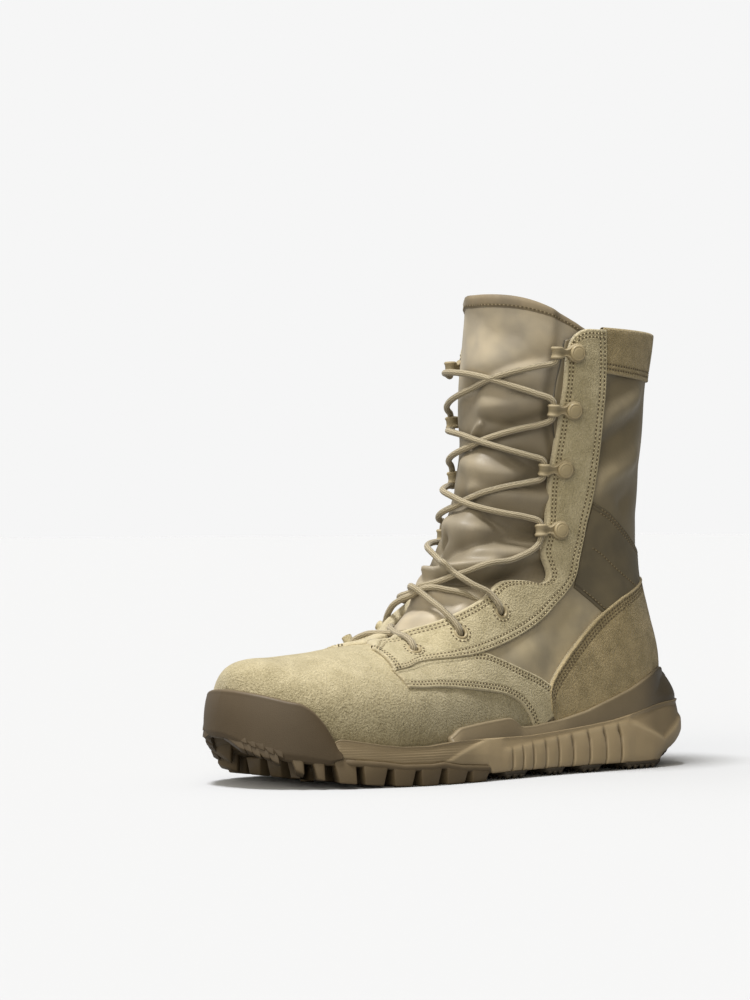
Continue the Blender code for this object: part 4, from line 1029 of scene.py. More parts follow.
def seamAlong(lattice, edge, distance, trimStart, trimEnd):
    # line on a lattice at a distance from one of its edges, with the surface's normals
    d, points, normals = lattice["edges"][edge], lattice["outer"], lattice["normals"]
    if edge in ("start", "end"):
        d, points, normals = d.T, points.transpose(1, 0, 2), normals.transpose(1, 0, 2)
    if edge in ("outer", "end"):
        d, points, normals = d[:, ::-1], points[:, ::-1], normals[:, ::-1]
    first = lattice.get("rollSteps", 0) if edge == "inner" else 0
    made, ways = [], []
    for row in range(len(d)):
        reach = np.maximum.accumulate(d[row, first:])
        if reach[-1] >= distance:
            made.append(sample(points[row, first:], reach, [distance])[0])
            ways.append(sample(normals[row, first:], reach, [distance])[0])
    made, ways = np.array(made), np.array(ways)
    length = runLength(made)
    keep = (length >= trimStart) & (length <= length[-1] - trimEnd)
    return made[keep], ways[keep]


def seamsOf(lattice, piece):
    return [seamAlong(lattice, edge, d, *trims) for edge, *trims, rows in piece["seams"] for d in rows]


def counterLattice(side):
    c, full = counterPiece, counterPiece["thickness"]
    edge = np.array(c["edge"], float)
    fine = np.linspace(0, len(edge) - 1, 80)
    edgeK, edgeT = fromSide(*(cubicAt(np.arange(len(edge)), column, fine) for column in edge.T))
    order = np.argsort(edgeK)
    rows = evenRows(edgeK.min(), edgeK.max(), c["rows"])
    top = np.interp(rows, edgeK[order], edgeT[order])
    sec = sectionAt(rows)

    def aboveRim(t):
        s, z = lineAt(sec, reachAt(sec, t))
        return z - soleAt("rim", s)

    zero = np.zeros(len(rows))
    low = np.where(aboveRim(zero) > c["rise"], 0, bisect(aboveRim, c["rise"], zero, zero + 1))
    low = np.minimum(low, top * 0.9)
    bunch = 1 - np.linspace(1, 0, c["columns"] + 1) ** 2.0  # lines crowd towards the cut edge
    k = np.repeat(rows[:, None], len(bunch), 1)
    t = low[:, None] + (top - low)[:, None] * bunch[None, :]
    base = skin(k, t, side)
    across, along = runLength(base, 1), runLength(base, 0)
    edges = {"outer": across[:, -1:] - across, "end": along[-1:] - along, "start": along}
    nearest = np.minimum(edges["outer"], np.minimum(edges["end"], edges["start"] + 0.2))
    lift = roundedEdge(nearest, full) + c["lip"] * bell(nearest - 0.8, 0.7)
    lift = lift - overlayPiece["stitchTrough"] * stitchBells(c, nearest, 0.6) + 0.25 * ripple(base, 34, 9)
    outer, ways = lieOn(k, t, side, lift)
    # painted shade in the stitch grooves
    grime = overlayPiece["stitchGrooveShade"] * stitchBells(c, edges["outer"], 0.6)
    return {
        "outer": outer,
        "inner": skin(k, t, side, overlayPiece["sunk"]),
        "masks": {"rim": rimMask(nearest) * 0.7, "grime": grime},
        "map": (base[..., 1], base[..., 2]),
        "edges": edges,
        "normals": ways,
    }


def bandLattice(side):
    b, steps = bandPiece, np.array(overlayPiece["edgeSteps"])
    stop = fromSide(*b["end"])[1]
    t = np.linspace(0, stop, b["columns"])[:, None]
    collar = last["collarRow"]
    rowHigh = np.linalg.norm(skin(collar, t, side) - skin(collar - 1, t, side), axis=-1)
    low = np.interp(t / stop, (0, 1), b["low"])
    height = (b["top"] - low) * rowHigh
    rest = steps[-1] + (height - steps[-1]) * np.linspace(0, 1, 9)[None, 1:]
    up = np.concatenate([np.repeat(steps[None, :], len(t), 0), rest], 1)
    lift = roundedEdge(up, b["thickness"]) - overlayPiece["stitchTrough"] * stitchBells(b, up, 0.5)
    # painted shade in the stitch grooves
    grime = overlayPiece["stitchGrooveShade"] * stitchBells(b, up, 0.6)
    past, overLift = (np.array(column)[None, :] for column in zip(*b["over"]))
    grime = np.pad(grime, ((0, 0), (0, past.size)))
    up = np.concatenate([up, height + past], 1)
    lift = np.concatenate([lift, np.repeat(overLift, len(t), 0)], 1)
    k, girth = low + up / rowHigh, np.repeat(t, up.shape[1], 1)
    base = skin(k, girth, side)
    lift = lift + 0.18 * ripple(base, 22, 4) * (lift > 0)
    outer, ways = lieOn(k, girth, side, lift)
    under = np.where(lift > -1, np.minimum(lift - 0.5, overlayPiece["sunk"]), lift + 0.8)
    return {
        "outer": outer,
        "inner": skin(k, girth, side, under),
        "masks": {"rim": rimMask(up, 0.7), "grime": grime},
        "map": (base[..., 1], base[..., 2]),
        "edges": {"inner": up},
        "normals": ways,
    }


def makeOverlays():
    seams, dimSeams, bands, counters = [], [], [], []
    for word, side in sideNames.items():
        strips = (eyestayPiece, saddlePiece, anklePiece)
        eyestay, saddle, ankle = (stripLattice(piece, side) for piece in strips)
        panel = finishPiece(
            f"eyestayPanel_{word}", sheetFrom([eyestay]), "suede", [f"eyestay_{word}"]
        )
        cutEyelets(panel, side)
        finishPiece(f"saddlePanel_{word}", sheetFrom([saddle]), "suede", [f"saddle_{word}"])
        finishPiece(
            f"anklePanel_{word}", sheetFrom([ankle]), "ankle", [f"ankle_strip_{word}"]
        )
        bands.append(bandLattice(side))
        counters.append(counterLattice(side))
        seams += seamsOf(eyestay, eyestayPiece) + seamsOf(saddle, saddlePiece)
        seams += [eyeletRing(spot, side) for spot in lacing["eyelets"]]
        dimSeams += seamsOf(ankle, anklePiece)
        dimSeams += seamsOf(bands[-1], bandPiece) + seamsOf(counters[-1], counterPiece)
    # the collar band and heel counter take the darker suede: painted shade
    finishPiece("collarBand", sheetFrom(bands), "shadeSuede", ["collar_band"])
    finishPiece("heelCounter", sheetFrom(counters), "shadeSuede", ["heel_counter"])
    print("overlays", len(seams) + len(dimSeams), "seams")
    return seams, dimSeams


# Stitching: each stitch is a short bead of thread with a flat dark disc at its end, painted shade for the
# needle's hole
stitching = {
    "pitch": 2.2,
    "bead": (0.64, 0.36, 0.32),
    "pit": (0.72, 0.5, 1),
    "pitLift": 0.12,
    "sink": -0.02,
    "half": 0.4,
}


def stitchTemplate():
    bm = bmesh.new()
    bmesh.ops.create_icosphere(bm, subdivisions=1, radius=1.0)
    bmesh.ops.scale(bm, vec=stitching["bead"], verts=bm.verts)
    # flat disc that takes the dark look: painted shade of the needle's hole
    pit = bmesh.ops.create_circle(bm, cap_ends=True, radius=1.0, segments=7)["verts"]
    bmesh.ops.scale(bm, vec=stitching["pit"], verts=pit)
    bmesh.ops.translate(bm, vec=(stitching["pitch"] / 2, 0, stitching["pitLift"]), verts=pit)
    bmesh.ops.triangulate(bm, faces=bm.faces[:])
    bm.verts.index_update()
    corners = np.array([vert.co for vert in bm.verts])
    faces = np.array([[vert.index for vert in face.verts] for face in bm.faces])
    dark = np.array([all(vert in pit for vert in face.verts) for face in bm.faces])
    bm.free()
    return corners, faces, dark


def makeStitches(name, seams, look):
    half = stitching["half"]
    corners, faces, dark = stitchTemplate()
    points, triangles, dim, count = [], [], [], 0
    for line, ways in seams:
        length = runLength(line)
        number = int(length[-1] / stitching["pitch"])
        if number < 2:
            continue
        at = (np.arange(number) + 0.5) * length[-1] / number
        ahead = unit(sample(line, length, at + half) - sample(line, length, at - half))
        across = unit(np.cross(sample(ways, length, at), ahead))
        up = np.cross(ahead, across)
        middle = sample(line, length, at) - up * stitching["sink"]
        turned = np.einsum("ca,nax->ncx", corners, np.stack([ahead, across, up], 1))
        points.append((middle[:, None] + turned).reshape(-1, 3))
        firsts = count + np.arange(number) * len(corners)
        triangles.append((faces[None] + firsts[:, None, None]).reshape(-1, 3))
        dim.append(np.tile(dark, number))
        count += number * len(corners)
    mesh = bpy.data.meshes.new(name)
    mesh.from_pydata(toFrame(np.concatenate(points)).tolist(), [], np.concatenate(triangles).tolist())
    mesh.polygons.foreach_set("material_index", np.concatenate(dim).astype(np.int32))
    mesh.polygons.foreach_set("use_smooth", np.ones(len(mesh.polygons), bool))
    mesh.update()
    addPiece(name, mesh, [look, "pit"], [])
    print(name, count // len(corners))


# Lacing: discs with webbing loops above, eyelets below, and the lace through them
lacing = {
    "discs": [(106.0, 223.0), (106.2, 193.0), (107.0, 162.0), (109.5, 129.0)],
    "eyelets": [(149.0, 86.0), (175.0, 75.0), (203.0, 66.4)],
    "facingTop": 2.25,
    "discLift": 4.65,
    "loopReach": 11.6,
    "longerLoops": [0.0, 2.5, 7.0, 12.5],
    "medialDrop": [5.0, 5.0, 4.0, 3.0],
    "overEase": [1.0, 3.6, 2.2, 1.4, 2.2, 0.55, 0.6],
    "underEase": [0.95, 0.95, 0.95, 0.95, 0.5, 0.6, 0.7],
    # lifts along a strand that ends in a loop, in the first eyelet or in a later one
    "loopLifts": (4.6, 0.5, -2, 1.5, 4.8),
    "firstLifts": (4.6, 1.0, -1.5, 3.0, 4.3),
    "eyeletLifts": (-4.6, -3.2, -1.0, 3.6, 4.3),
    # girth past the eyelet and lift of the lace going in
    "holePath": [(0.01, 3.1), (0, 0.6), (0, -2.2), (0.03, -4.6)],
    # height and place of the hump where one strand crosses over another
    "loopHump": (3.2, 0.36),
    "eyeletHump": (2.0, 0.42),
    "humpWidth": 0.17,
    "clear": 0.1,
    "rowRange": (6.5, 28.9),
    "endLift": -3.4,
    "loopBore": 1.8,
    "strap": 1.1,
    # place across, width and height of the strap's rails
    "rail": (0.74, 0.24, 0.55),
    "strapLift": 3.55,
    # along and up: the strap's leg from under the disc to the neck
    "strapLeg": [
        (-5.2, -0.45), (-4, -0.5), (-2, -0.5), (0, -0.5), (2, -0.5), (4, -0.52), (5.5, -0.55), (7, -0.65),
        (8.2, -0.95),
    ],
    # along and half width: round the disc, narrow neck, ribbed end
    "strapHalf": [
        (-5.2, 0.6), (-4.6, 2.6), (-3.0, 4.6), (0, 5.2), (3.0, 4.2), (5.0, 2.5), (6.6, 1.9), (8.2, 2.2),
        (10, 3.2), (20, 3.3),
    ],
    "holeRadius": 2.7,
    "ringRadius": 4.9,
    "laceRadius": 1.7,
    "laceStep": 0.8,
    "tunnel": 3.8,
    # radius and height of the turned pieces
    "eyeletProfile": [
        (2.1, -1.6), (2.1, 2.1), (2.3, 2.6), (2.75, 2.85), (3.2, 2.8), (3.55, 2.55), (3.7, 2.2), (3.7, 1.7),
        (2.6, 1.7), (2.6, -1.6),
    ],
    "discProfile": [
        (0.0, 2.15), (2.2, 2.12), (2.9, 2.0), (3.05, 1.85), (3.3, 1.85), (3.55, 2.0), (4.0, 1.75), (4.3, 1.25),
        (4.35, 0.5), (4.1, -0.2), (0.0, -0.2),
    ],
}


def facingFrame(spot, side, lift):
    # place on the facing, with the ways towards the throat and outwards
    k, t = fromSide(*spot)
    foot = toFrame(skin(k, t, side))
    outward = Vector(toFrame(skin(k, t, side, 10.0)) - foot).normalized()
    forward = Vector(toFrame(sideSkin(spot[0] + 1, spot[1], side)) - foot)
    forward = (forward - outward * forward.dot(outward)).normalized()
    return Vector(toFrame(skin(k, t, side, lift))), forward, outward


def facingMatrix(spot, side, lift):
    origin, forward, outward = facingFrame(spot, side, lift)
    matrix = Matrix((forward, outward.cross(forward), outward)).transposed().to_4x4()
    matrix.translation = origin
    return matrix


def placed(points, matrix):
    # points in the millimetres of a matrix, as x s z
    turned = np.array(matrix)
    return fromFrame(points * mm @ turned[:3, :3].T + turned[:3, 3])


def eyeletRing(spot, side):
    # ring of stitches round an eyelet, laid on the facing
    turn = np.linspace(0, 2 * math.pi, 40)
    flat = lacing["ringRadius"] * np.stack([np.cos(turn), np.sin(turn), 0 * turn], 1)
    ring = placed(flat, facingMatrix(spot, side, 0))
    return lieOn(*fromSide(ring[:, 1], ring[:, 2]), side, lacing["facingTop"])


def cutEyelets(piece, side):
    # holes through a panel where the eyelets sit
    bm = bmesh.new()
    radius = lacing["holeRadius"] * mm
    size = {"segments": 24, "radius1": radius, "radius2": radius, "depth": 0.016}
    for spot in lacing["eyelets"]:
        bmesh.ops.create_cone(bm, cap_ends=True, matrix=facingMatrix(spot, side, 0), **size)
    cutter = addObject("eyeletCutter", meshFrom("eyeletCutter", bm))
    modifier = piece.modifiers.new("eyelets", "BOOLEAN")
    modifier.object, modifier.solver, modifier.operation = cutter, "EXACT", "DIFFERENCE"
    depsgraph = bpy.context.evaluated_depsgraph_get()
    made = bpy.data.meshes.new_from_object(piece.evaluated_get(depsgraph))
    piece.modifiers.clear()
    piece.data = made
    bpy.data.objects.remove(cutter)


def turnedPiece(name, profile, matrix, node):
    bm = bmesh.new()
    rim = [bm.verts.new((r * mm, 0, h * mm)) for r, h in profile]
    for a, b in zip(rim, rim[1:]):
        bm.edges.new((a, b))
    if profile[0][0] > 0:
        bm.edges.new((rim[-1], rim[0]))
    turn = {"axis": (0, 0, 1), "cent": (0, 0, 0), "steps": 28, "angle": 2 * math.pi}
    bmesh.ops.spin(bm, geom=bm.edges[:], use_merge=True, **turn)
    bmesh.ops.transform(bm, matrix=matrix, verts=bm.verts)
    finishPiece(name, bm, "metal", [node])


def makeLoop(name, matrix, node, reach):
    # webbing folded round the lace, with two raised rails that flare round the disc
    leg, half = lacing["strapLeg"], lacing["strap"] / 2
    radius = lacing["loopBore"] + half
    turn = np.linspace(-0.62 * math.pi, 0.62 * math.pi, 22)
    bend = [(reach + radius * math.cos(a), radius * math.sin(a)) for a in turn]
    neck = ((leg[-1][0] + bend[0][0]) / 2, (leg[-1][1] + bend[0][1]) / 2 - 0.1)
    path = np.array([*leg, neck, *bend, *((p, -q) for p, q in leg[::-1])])
    length = runLength(path)
    path = smoothed(sample(path, length, np.linspace(0, length[-1], 90)), 3)
    tangent = unit(np.gradient(path, axis=0))
    normal = np.stack([tangent[:, 1], -tangent[:, 0]], 1)  # away from the bore
    across = np.linspace(-1, 1, 19)
    width = table(lacing["strapHalf"], path[:, 0])[:, None] * across
    place, wide, height = lacing["rail"]
    rail = bell(np.abs(across) - place, wide)

    def face(out):
        along, up = (path[:, axis, None] + normal[:, axis, None] * out for axis in (0, 1))
        return placed(np.stack([along, width, up], -1), matrix)

    lattice = {
        "outer": face(half + height * rail - 0.25 * (np.abs(across) > 0.97)),
        "inner": face(np.full(across.shape, -half)),
        # painted highlight on the rails and painted shade along the middle between them
        "masks": {"rim": 0.5 * (rail > 0.6), "grime": 0.45 * bell(across, 0.35)},
    }
    finishPiece(name, sheetFrom([lattice]), "webbing", [node])


def loopSpots(side):
    # discs of one side with the reach of their loops: the inner side's sit lower and reach further
    inner = side == medial
    rows = zip(lacing["discs"], lacing["medialDrop"], lacing["longerLoops"])
    return [((s, z - inner * drop), lacing["loopReach"] + inner * more) for (s, z), drop, more in rows]


def makeHardware():
    for word, side in sideNames.items():
        for i, spot in enumerate(lacing["eyelets"], 1):
            matrix = facingMatrix(spot, side, 0)
            turnedPiece(f"eyeletRing_{word}_{i}", lacing["eyeletProfile"], matrix, f"eyelet_{word}_{i}")
        for i, (spot, reach) in enumerate(loopSpots(side), 1):
            matrix = facingMatrix(spot, side, lacing["discLift"])
            turnedPiece(f"disc_{word}_{i}", lacing["discProfile"], matrix, f"loop_disc_{word}_{i}")
            matrix = facingMatrix(spot, side, lacing["strapLift"])
            makeLoop(f"laceLoop_{word}_{i}", matrix, f"lace_loop_{word}_{i}", reach)
    print("hardware ready")


def frontSpot(x, z):
    # row of the last and girth of points seen from the front
    side, away = np.where(x >= 0, lateral, medial), np.abs(x)
    height = lambda k: onSection(k, girthFor(k, side, away), side)[..., 2]
    k = bisect(height, z, *(np.full(x.shape, row) for row in lacing["rowRange"]), 22)
    return k, girthFor(k, side, away), side


def strand(start, stop, lifts, ease, hump, byRow=False):
    # lace drawn from one side to the other over the tongue, evenly in height or in rows of the last
    w = np.linspace(0.1, 0.9, 13)
    x = start[0] + (stop[0] - start[0]) * w
    if byRow:
        side = np.where(x >= 0, lateral, medial)
        first, end = fromSide(*np.array([start, stop]).T[1:])[0]
        k = first + (end - first) * w**ease
        t = girthFor(k, side, np.abs(x))
    else:
        k, t, side = frontSpot(x, start[2] + (stop[2] - start[2]) * w**ease)
    lift = np.interp(w, (0, 0.22, 0.5, 0.78, 1), lifts)
    rest = tongueLift(k, t, side) + lacing["laceRadius"] + lacing["clear"]
    height, place = hump
    lift = np.maximum(lift, rest) + height * bell(w - place, lacing["humpWidth"])
    return list(skin(k, t, side, lift))


def laceRoute(side):
    points, loops = [], len(lacing["discs"])
    for i in range(loops + len(lacing["eyelets"])):
        over = side == lateral  # strands that go to the outer side lie on top
        ease = lacing["overEase" if over else "underEase"][i]
        height, place = lacing["loopHump" if i < loops else "eyeletHump"]
        hump = (height * over, place)
        if i < loops:
            spot, reach = loopSpots(side)[i]
            origin, forward, outward = facingFrame(spot, side, lacing["strapLift"])
            centre, up = origin + forward * reach * mm, forward.cross(outward) * side
            runs = lacing["tunnel"] * mm * np.linspace(1, -1, 5)
            bar = list(fromFrame(np.array(centre) + np.outer(runs, up)))
            if points:
                points += strand(points[-1], bar[0], lacing["loopLifts"], ease, hump)
            points += bar if points else bar[1:]
        else:
            k, t = fromSide(*lacing["eyelets"][i - loops])
            hole = [skin(k, t + past, side, lift) for past, lift in lacing["holePath"]]
            lifts = lacing["firstLifts" if i == loops else "eyeletLifts"]
            points += strand(points[-1], hole[0], lifts, ease, hump, i > loops) + hole
        side = -side
    # under the facing to the middle, where the two halves meet
    x, _, z = points[-1]
    k, t, sides = frontSpot(x * np.array([0.75, 0.4, 0.0]), z + np.array([1.0, 3.0, 4.0]))
    return np.array(points + list(skin(k, t, sides, lacing["endLift"])))


def smoothRoute(points):
    # even points on a rounded curve through the route
    length = runLength(points)
    at = np.linspace(0, length[-1], int(length[-1] / lacing["laceStep"]))
    return smoothed(np.stack([cubicAt(length, column, at) for column in points.T], 1), 6)


def tubeLattice(route, around=12):
    ahead = unit(np.gradient(route, axis=0))
    ways = [unit(np.cross(ahead[0], (0, 0, 1.0)))]
    for direction in ahead[1:]:
        ways.append(unit(ways[-1] - direction * np.dot(ways[-1], direction)))
    ways = np.array(ways)
    turn = np.linspace(0, 2 * math.pi, around + 1)[None, :]
    ring = np.cos(turn)[..., None] * ways[:, None] + np.sin(turn)[..., None] * np.cross(ahead, ways)[:, None]
    return {
        "outer": route[:, None] + ring * lacing["laceRadius"],
        "map": (turn / (2 * math.pi), runLength(route)[:, None]),
        "masks": plainMasks,
    }


def makeLace():
    routes = [smoothRoute(laceRoute(side)) for side in (lateral, medial)]
    finishPiece("laceCord", solidFrom([tubeLattice(route) for route in routes]), "lace", ["lace"])
    print("lace", [round(float(runLength(route)[-1])) for route in routes], "mm")


# Sole: foam wall with flex grooves, rubber cradle and bumper, lugged rubber beneath
sole = {
    "length": 305.0,
    # s and half widths to the outer and inner side
    "plan": [
        (0, 0, 0), (6, 24, -23.5), (22, 37.5, -36), (50, 42.5, -41.5), (85, 43.5, -42.5), (120, 45, -42),
        (155, 49.5, -44), (190, 54.5, -50), (218, 55, -54), (243, 50.5, -53.5), (265, 42.5, -49.5),
        (284, 31, -41), (298, 15, -28), (305, -8, -8),
    ],
    # s rim underside
    "levels": [
        (0, 36, 14), (12, 35.8, 8.5), (27, 35, 5.2), (40, 33.6, 4), (55, 31, 4), (75, 27.3, 4), (96, 25, 4),
        (122, 22.9, 4), (140, 21.8, 4), (170, 22, 4), (174, 22, 8.2), (195, 21.8, 9.6), (207, 20.8, 11.6),
        (215, 20, 11), (232, 20.2, 11.4), (244, 21.6, 13.2), (262, 24.6, 14.8), (275, 25.5, 15.4),
        (288, 28, 17.2), (297, 30.5, 20.2), (302, 32.5, 24.2), (305, 34, 28),
    ],
    # s and z of upper edges
    "cradleTop": [
        (0, 46.5), (5, 48), (11, 51), (19, 54), (28, 54), (36, 52.6), (42, 50.5), (50, 47.5), (60, 43.5),
        (76, 38.6), (94, 33), (113, 29.2), (133, 26.8), (143, 26.6), (149, 31.2), (153, 31.8), (172, 30.2),
        (191, 28.2), (199, 23.6),
    ],
    "bumperTop": [
        (264, 18), (266, 21.5), (268.5, 26.5), (272.5, 33.4), (277, 39), (282, 42.8), (288, 44.4), (296, 47),
        (305, 49.5),
    ],
    "slab": 3.3,
    # start, height at the tip and power of the toe's rise
    "spring": [(222.0, 8.0, 1.4), (268.0, 17.0, 1.7)],
    "innerCurl": 13.0,
    "flush": 5.4,
    "cupGap": 1.0,
    "heelGap": 1.5,
    "deepest": 26.0,
    "toeInset": 3.2,
    "bedDrop": 0.8,
    "bevelDepth": 9.0,
    "stations": 300,
    "wallSteps": 30,
}
featherline = sorted(row[:2] for row in last["rows"][: last["heelRow"]])


def phaseOf(s):
    return np.arccos(np.clip(1 - 2 * np.asarray(s, float) / sole["length"], -1, 1))


planPhase = phaseOf([row[0] for row in sole["plan"]])


def lengthAt(angle):
    return sole["length"] / 2 * (1 - np.cos(angle))


def outlineAt(angle, side, inset=0.0):
    # plan point of the sole's edge, moved inwards
    angle, inset = np.broadcast_arrays(np.asarray(angle, float), np.asarray(inset, float))
    across = [row[1 if side > 0 else 2] for row in sole["plan"]]
    step = 0.002
    slopeX = cubicAt(planPhase, across, angle + step) - cubicAt(planPhase, across, angle - step)
    slopeS = sole["length"] / 2 * np.sin(angle) * 2 * step
    size = np.hypot(slopeX, slopeS) + 1e-12
    x = cubicAt(planPhase, across, angle) - side * slopeS / size * inset
    return x, lengthAt(angle) + side * slopeX / size * inset


def toeShift(s, side):
    # the inner side of the toe curls up a little earlier
    return sole["innerCurl"] * rise(s, 264, 22) * (side == medial)


def soleAt(name, s, side=lateral):
    stations, rim, underside = zip(*sole["levels"])
    if name == "rim":
        return np.interp(s, stations, rim)
    return np.interp(s + toeShift(s, side), stations, underside)


def footbed(s):
    return table(featherline, s) - sole["bedDrop"]


def withinUpper(x, s, z, side):
    k, a = sideRow(s, z)
    sec = sectionAt(np.clip(k, 0, topRow))
    inside = side * (x - sec[..., midX]) <= halfWidth(sec, side) * widthShare(sec, np.clip(a, 0, 1))
    return inside & (k >= 0) & (k <= topRow) & (a >= 0) & (a <= 1)


def insetToUpper(angle, side, z):
    # how far inside the sole's edge the upper's outside lies
    angle, z = np.broadcast_arrays(np.asarray(angle, float), np.asarray(z, float))

    def inside(inset):
        x, s = outlineAt(angle, side, inset)
        return withinUpper(x, s, np.maximum(z, footbed(s) + 1.0), side).astype(float)

    return bisect(inside, 0.5, np.zeros(angle.shape), np.full(angle.shape, sole["deepest"]), 17)


def ground(s):
    # level of the tread's foot, which rises under the toe
    total = 0.0
    for start, height, power in sole["spring"]:
        total = total + height * np.maximum(0, (s - start) / (sole["length"] - start)) ** power
    return total


def heelShare(s):
    return fall(s, 46, 30)


def heelBevel(s, z):
    # how far the heel's lower edge is cut back
    return heelShare(s) * sole["bevelDepth"] * np.clip((20 - z) / 14, 0, 1) ** 1.6


def ringLattice(angles, profile):
    # closed rings round the sole's section: the outer half, then the inner half back again
    halves = []
    for side in (lateral, medial):
        inset, z, masks = profile(angles[:, None], side)
        x, s = outlineAt(angles[:, None], side, inset)
        masks = {name: np.broadcast_to(mask, x.shape) for name, mask in masks.items()}
        halves.append({"outer": np.stack([x, s, z], -1), **masks})
    rings = {}
    for name in halves[0]:
        a, b = (half[name] for half in halves)
        rings[name] = np.concatenate([a, b[:, ::-1], a[:, :1]], 1)
    return {"outer": rings.pop("outer"), "masks": rings}


# Foam: shapes moulded into its wall, in s and z
foamPiece = {
    "grooves": [154.0, 145.5, 137.0, 127.0, 117.0, 106.0, 93.5, 81.0, 69.5],
    "grooveSteps": (-1.6, -1.1, -0.7, 0, 0.7, 1.1, 1.6),
    "heelBreast": [169.6, 170.4, 172, 173.6, 174.4],
    "grooveWidth": 0.75,
    "grooveDepth": 2.3,
    "grooveBow": 0.009,
    "ribTop": [(69, 25), (154, 15)],
    "heelRidge": [(0, 27), (16, 25), (34, 15), (43, 19), (59, 24.5)],
    "wave": [(162, 23), (169, 22.3), (175, 21.6), (185, 18.6), (196, 15), (206, 11), (215, 9)],
    "linePitch": 1.3,
    # share of the wall's height and how far its foot is tucked in
    "foot": [(0, 1.6), (0.05, 0.8), (0.14, 0.45), (0.45, 0.15), (1, 0)],
    "heelLean": 3.4,
}


def foamRelief(s, z):
    # depth pressed into the wall, with painted highlights on its edges and painted shade in its grooves and
    # above the heel ridge: ribs, ridge round the heel, wave in front; darker towards the toe
    f = foamPiece
    ribTop, ridge, wave = (table(f[name], s) for name in ("ribTop", "heelRidge", "wave"))
    inRibs, atHeel, fore = rise(s, 62, 6) * fall(s, 164, 6), fall(s, 64, 6), rise(s, 158, 8)
    fade = smoothStep((ribTop - z) / 8.0 + 0.3) * inRibs
    away = np.min([np.abs(s - g - f["grooveBow"] * (z - 10) ** 2) for g in f["grooves"]], 0)
    cut = bell(away, f["grooveWidth"], 4)
    lines = 0.08 * np.sin(2 * math.pi * z / f["linePitch"]) * rise(s, 186, 14)
    depth = f["grooveDepth"] * cut * fade + inRibs * 0.45 * rise(z, ribTop, 2.5)
    depth = depth - 0.45 * fade * (1 - bell(away, 3.2))
    depth = depth + atHeel * (1.1 * rise(z, ridge, 3.0) + 0.5 * fall(z, ridge, 9.0))
    depth = depth + rise(z, wave, 1.0) * fore * (0.75 + lines)
    # painted highlights along groove edges, rib tops, the heel ridge and the wave
    rim = fade * bell(away - 1.5, 0.6) * 0.2 + inRibs * bell(z - ribTop + 0.4, 0.8) * 0.35
    rim = rim + atHeel * bell(z - ridge + 0.3, 0.7) * 0.6 + fore * bell(z - wave + 0.5, 0.6) * 0.55
    # painted shade in the grooves and above the heel ridge; darker towards the toe
    grime = cut * fade * 0.9 + 0.42 * rise(s, 176, 14)
    grime = grime + atHeel * 0.7 * rise(z, ridge, 2.0) * fall(s, 60, 22)
    return depth, np.clip(rim, 0, 1), np.clip(grime, 0, 1)


def foamProfile(angle, side):
    # from the underside up the wall, over the rim and down into the cup round the upper
    s = lengthAt(angle)
    under, rim = soleAt("underside", s, side), soleAt("rim", s)
    behind = rise(s, 265, 6)  # behind the bumper
    base = sole["toeInset"] * behind
    bedAt = lambda inset: footbed(outlineAt(angle, side, inset)[1])
    rim = rim + (bedAt(base + 2) - rim) * behind
    toUpper = insetToUpper(angle, side, rim + 1.0)
    lean = np.maximum(0.3, toUpper - sole["flush"]) * (1 - behind)
    lean = lean + (np.minimum(lean, foamPiece["heelLean"]) - lean) * heelShare(s)
    share = np.linspace(0, 1, sole["wallSteps"])[None, :]
    z = under + (rim - under) * share
    depth, light, dark = foamRelief(s + 0 * z, z)
    depth = depth * (1 - behind) * fall(share, 1, 0.06) * rise(share, 0, 0.02)
    wall = base + table(foamPiece["foot"], share) + lean * share**2.2 + depth + heelBevel(s, z)
    gap = np.where(s < 40, sole["heelGap"], sole["cupGap"])
    cup = np.maximum(toUpper - gap, base + lean + 1.6)
    bedInset = np.maximum(cup, insetToUpper(angle, side, rim - 2.0) - gap) + 0.3
    cupTop = rim + (bedAt(cup) - rim) * behind
    below = [base + heelBevel(s, under) + step for step in (12.0, 4.0, 2.2)]
    inset = np.concatenate([*below, wall, base + lean + 0.7, cup, bedInset], 1)
    z = np.concatenate([under, under, under, z, rim + 0.25, cupTop, bedAt(bedInset)], 1)
    # painted shade under the sole and in the cup round the upper
    light, dark = np.pad(light, ((0, 0), (3, 3))), np.pad(dark, ((0, 0), (3, 3)), constant_values=0.8)
    return inset, z, {"rim": light, "grime": dark}


def makeFoam():
    f = foamPiece
    extra = [groove + step for groove in f["grooves"] for step in f["grooveSteps"]] + f["heelBreast"]
    angles = np.unique(np.concatenate([np.linspace(0, math.pi, sole["stations"]), phaseOf(extra)]))
    angles = angles[np.concatenate([[True], np.diff(angles) > 0.0008])]
    angles[-1] = math.pi
    bm = sheetFrom([ringLattice(angles, foamProfile)], closed=True)
    piece = finishPiece("midsoleFoam", bm, "foam", ["midsole"])
    print("midsole", len(piece.data.polygons))


def makeInsole():
    def profile(angle, side):
        inset = insetToUpper(angle, side, footbed(lengthAt(angle)) + 4.0) + last["wall"] + 1.6
        bed = footbed(outlineAt(angle, side, inset)[1]) + 0.6
        # steps inwards and up, round the pad's edge
        steps = ((12, 0), (0.8, 0), (0, 1.0), (0.3, 3.4), (1.2, 4.0), (12, 4.0))
        insets, heights = (np.array(column)[None, :] for column in zip(*steps))
        return inset + insets, bed + heights, plainMasks

    bm = sheetFrom([ringLattice(np.linspace(0, math.pi, 90), profile)], closed=True)
    finishPiece("insolePad", bm, "lining", ["insole"])


